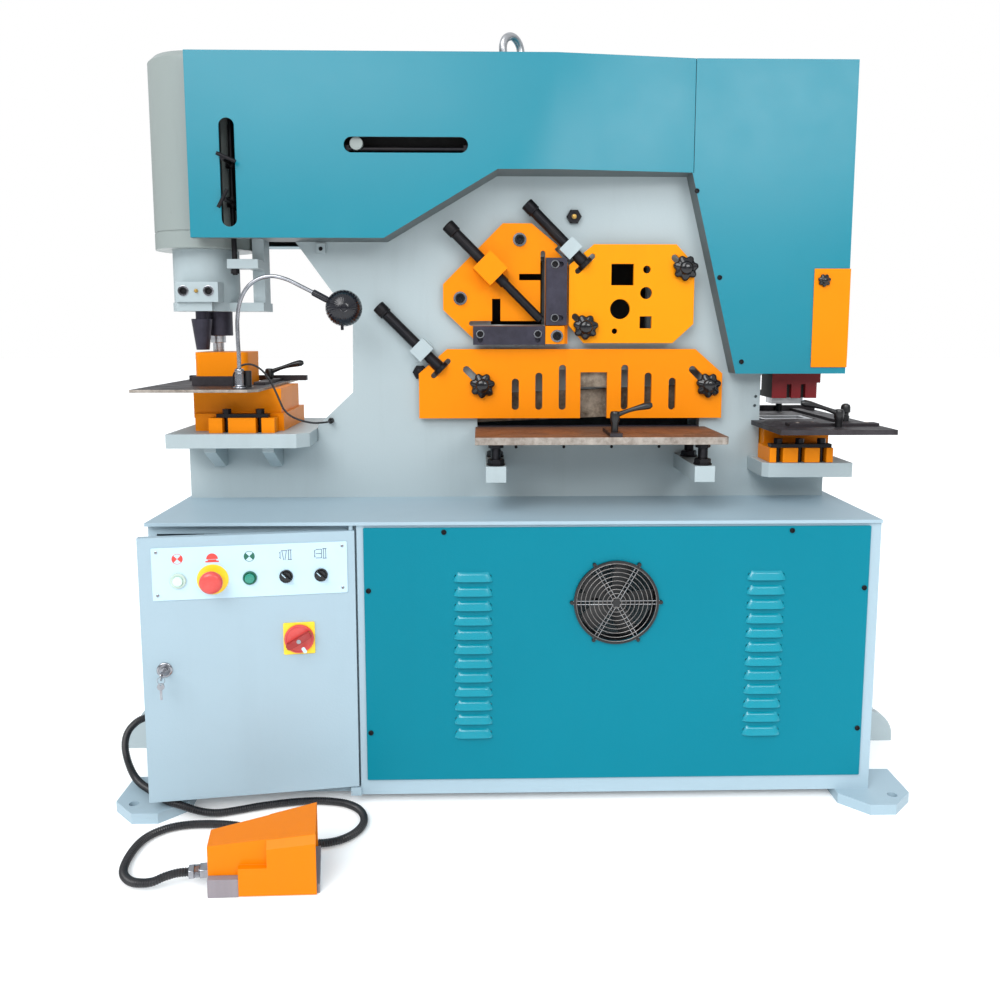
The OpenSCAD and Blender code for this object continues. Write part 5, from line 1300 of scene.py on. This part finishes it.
def doorPlates(bm):
    (x0, x1), (z0, z1) = doorForm["plate"]
    prism(bm, panel(*doorForm["plate"], 3, 4), 0, 2, onDoor(0, 0), 0, 0.5)
    for x in (x0 + 11, x1 - 11):
        for z in (z0 + 12, z1 - 10):
            turned(bm, [(3.6, 0), (3.4, 0.9), (2.2, 1.5), (0, 1.7)], onDoor(x, z, 2), 24, 1)
            bar(bm, onDoor(x, z, 2, 35), -2.4, 0, 2.4, 0, 0.8, 3, 1.2, 1.8)
    bowTie(bm, doorForm["white"], 4)
    bowTie(bm, doorForm["green"], 6)
    icon = onDoor(doorForm["stop"], doorForm["iconHeight"] - 4, 2)
    dome = [(12.5 * cos(pi * k / 20), 1 + 13 * sin(pi * k / 20)) for k in range(21)]
    prism(bm, dome, 0, 0.4, icon, 4)
    prism(bm, [(-14.5, -6), (14.5, -6), (14.5, -3), (9, -2.6), (9, 0), (-9, 0), (-9, -2.6),
               (-14.5, -3)], 0, 0.4, icon, 4)
    for side, x in zip(("left", "right"), doorForm["selectors"]):
        for stroke in signStrokes[side] + signStrokes["lever"]:
            bar(bm, onDoor(x, doorForm["iconHeight"], 2), *stroke, 7)
    height = doorForm["buttonHeight"]
    turned(bm, [(17, 0), (17.4, 1), (17.2, 4), (16.2, 5.2), (14.6, 5), (11.4, 4.2), (11.3, 0)],
           onDoor(doorForm["white"], height, 2), 44, 8, capped=False)
    turned(bm, [(15.2, 0), (15.4, 1), (15.2, 4), (14.2, 5), (12.4, 4.6), (11.4, 4), (11.3, 0)],
           onDoor(doorForm["green"], height, 2), 44, 6, capped=False)
    for x in doorForm["selectors"]:
        turned(bm, [(14.8, 0), (15, 1), (14.8, 4), (13.6, 5), (11.4, 4.6), (11.3, 0)],
               onDoor(x, height, 2), 44, 3, capped=False)
    turned(bm, [(33.4, 0), (34, 0.5), (34, 1.6), (33.4, 2), (8.4, 2), (8.4, 0)],
           onDoor(doorForm["stop"], height, 2), 64, 5, capped=False)
    x, z = doorForm["mainSwitch"]
    cutPlate(bm, oblong(35, 37, 3, 4), [disc(8.4, 32)], 0, 3, onDoor(x, z), 5, 0.6)
    x, z = doorForm["lock"]
    turned(bm, [(17, 0), (17, 2), (15.8, 3.4), (12.8, 4), (12, 3.2), (10.6, 3.2), (10, 5),
                (8.4, 5), (8.4, 0)], onDoor(x, z), 44, 1, capped=False)


def doorLock(bm):
    x, z = doorForm["lock"]
    turned(bm, [(0, -14), (8, -14), (8, 8.4), (7.4, 9), (0, 9)], onDoor(x, z), 32)
    prism(bm, shifted(oblong(9, 25, 4), 0, -15), -12, -9, onDoor(x, z), 0, 0.4)
    prism(bm, oblong(1.1, 3.6, 0.6, 2), 9, 29, onDoor(x, z), 0, 0.2)
    key = doorFrame @ moved(x, -25, z) @ spun(90, "Y") @ shrink
    cutPlate(bm, shifted(disc(10.5, 40), 0, -13), [shifted(disc(2.8, 20), 0, -18)], -1.1, 1.1,
             key, 0, 0.4)
    ringWire(bm, onDoor(x, z - 8, 43), 8, 0.7, 0, 32, 6, 0)
    spare = onDoor(x - 1, z - 22, 43)
    cutPlate(bm, disc(8, 32), [shifted(disc(1.8, 16), 0, 5)], -1, 1, spare, 0, 0.3)
    prism(bm, shifted(oblong(2.6, 12, 1, 2), 0, -18), -0.8, 0.8, spare, 0, 0.3)


def pushCap(bm, x):
    base = onDoor(x, doorForm["buttonHeight"])
    turned(bm, [(0, -7), (11, -7), (11, 9.4), (10.4, 11), (8.6, 11.8), (0, 12)], base, 40)


def stopCap(bm):
    base = onDoor(doorForm["stop"], doorForm["buttonHeight"])
    turned(bm, [(0, -8), (8, -8), (8, 17), (13, 19), (15, 24), (22, 25), (25, 27.4), (25.2, 31),
                (24.4, 34.4), (21.6, 37.4), (17, 39.4), (10, 40.6), (0, 41)], base, 56)


def selector(bm, x):
    base = onDoor(x, doorForm["buttonHeight"])
    turned(bm, [(0, -8), (8, -8), (8, 2.4), (10.8, 2.4), (10.8, 9), (10, 10), (0, 10)], base,
           40)
    grip = onDoor(x, doorForm["buttonHeight"], 0, 45)
    prism(bm, oblong(3.2, 13, 2.2), 9, 18, grip, 0, 1.0)
    bar(bm, grip, 0, 1, 0, 11.6, 1.7, 1, 17.8, 18.3)


def mainSwitch(bm):
    x, z = doorForm["mainSwitch"]
    base = onDoor(x, z)
    turned(bm, [(0, -8), (8, -8), (8, 3.4), (32, 3.4), (33, 4.4), (33, 8), (32, 9.6), (29, 10),
                (28, 9), (0, 9)], base, 64)
    grip = onDoor(x, z, 0, -60)
    prism(bm, oblong(7.5, 31, 5), 8.8, 26, grip, 1, 2.4)
    bar(bm, grip, 20, 0, 27, 0, 8, 2, 25.8, 26.4)
    turned(bm, [(5, 25.9), (5, 26.6), (3, 26.9), (0, 26.9)], base, 24, 3)


build("doorPlates", doorPlates, "switch_white",
      ["controlPlate", "chrome", "framePaint", "blackPlastic", "signRed", "yellowSwitch",
       "signGreen", "signBlue", "bezelPale"], 40)
build("doorLock", doorLock, "bright_steel", ["chrome"])
build("whiteButton", lambda bm: pushCap(bm, doorForm["white"]), "switch_white", ["whiteSwitch"])
build("greenButton", lambda bm: pushCap(bm, doorForm["green"]), "switch_green", ["greenSwitch"])
build("stopButton", stopCap, "switch_red", ["redSwitch"], 40)
for piece, across in zip(("selectorLeft", "selectorRight"), doorForm["selectors"]):
    build(piece, lambda bm: selector(bm, across), "black_plastic",
          ["blackPlastic", "controlPlate"])
build("mainSwitch", mainSwitch, "switch_red",
      ["redSwitch", "darkRedSwitch", "controlPlate", "chrome"], 40)
print("door and controls built")

pedalForm = {
    "at": (-630, -668),
    "turn": 9,
    "treadX": 76,
    "treadZ": 34,
    "treadRise": 14,
    "treadLong": 122,
    "treadWide": 84,
    "treadRibs": 12,
    "ribPitch": 9,
    "glandZ": 32,
}
pedalFrame = moved(*pedalForm["at"]) @ spun(pedalForm["turn"])


def onPedal(x, y, z, tilt, axis="Y"):
    return pedalFrame @ moved(x, y, z) @ spun(tilt, axis) @ shrink


def treadPlate(bm):
    base = onPedal(pedalForm["treadX"], 0, pedalForm["treadZ"], -pedalForm["treadRise"])
    half, side = pedalForm["treadLong"] / 2, pedalForm["treadWide"] / 2
    prism(bm, shifted(oblong(half, side, 6), half, 0), -1, 6, base, 0, 1.2)
    for k in range(pedalForm["treadRibs"]):
        prism(bm, shifted(oblong(2.2, side - 5, 2), 14 + pedalForm["ribPitch"] * k, 0), 5.8, 8,
              base, 0, 0.6)
    pin = onPedal(pedalForm["treadX"], side + 2, pedalForm["treadZ"], 90, "X")
    turned(bm, [(0, 0), (5, 0), (6, 1), (6, 87), (5, 88), (0, 88)], pin, 28)


def glandOn(bm, base, long, r, look=0):
    turned(bm, [(r * 0.4, 0), (r, 0), (r, long * 0.41), (r * 0.92, long * 0.45),
                (r * 0.8, long * 0.46)], base, 48, look,
           hexed(long * 0.43), capped=False)
    ridges = [(r * (0.8 if k % 2 else 0.76), long * (0.46 + 0.28 * k / 10)) for k in range(11)]
    turned(bm, ridges, base, 36, look, capped=False)
    turned(bm, [(r * 0.8, long * 0.75), (r * 0.94, long * 0.75), (r * 0.94, long * 0.95),
                (r * 0.84, long), (r * 0.55, long)], base, 48, look,
           hexed(long * 0.97), capped=False)


glandForm = {
    "cabinet": (-840, -270, 180),
    "frameEdge": (-465, -65, 880),
    "radius": 16,
    "smallRadius": 8,
}


# At the cabinet's side, at the foot switch and, small and black, at the frame's edge
def glands(bm):
    radius = glandForm["radius"]
    glandOn(bm, at(*glandForm["cabinet"], (-1, 0, 0)), 26, radius)
    glandOn(bm, onPedal(0, 0, pedalForm["glandZ"], -90), 40, radius)
    glandOn(bm, front(*glandForm["frameEdge"]), 14, glandForm["smallRadius"], 1)


build("cableGlands", glands, "bright_steel", ["chrome", "blackPlastic"], 40)
dressed("pedalBase", "bright_steel", ["pedalGrey"], 1.2)
dressed("pedalHood", "guard_paint", ["pedalPaint"], 1.8, steps=3)
build("pedalTread", treadPlate, "black_plastic", ["blackPlastic"])
print("cabinet fittings dressed")


floorForm = {
    "halfSide": 30,
}


def makeFloor():
    bm = bmesh.new()
    bmesh.ops.create_grid(bm, x_segments=2, y_segments=2, size=floorForm["halfSide"])
    mesh = bpy.data.meshes.new("floor")
    bm.to_mesh(mesh)
    bm.free()
    mesh.materials.append(finishes["floorTone"])
    addObject("floor", mesh)


makeFloor()
print("floor laid")
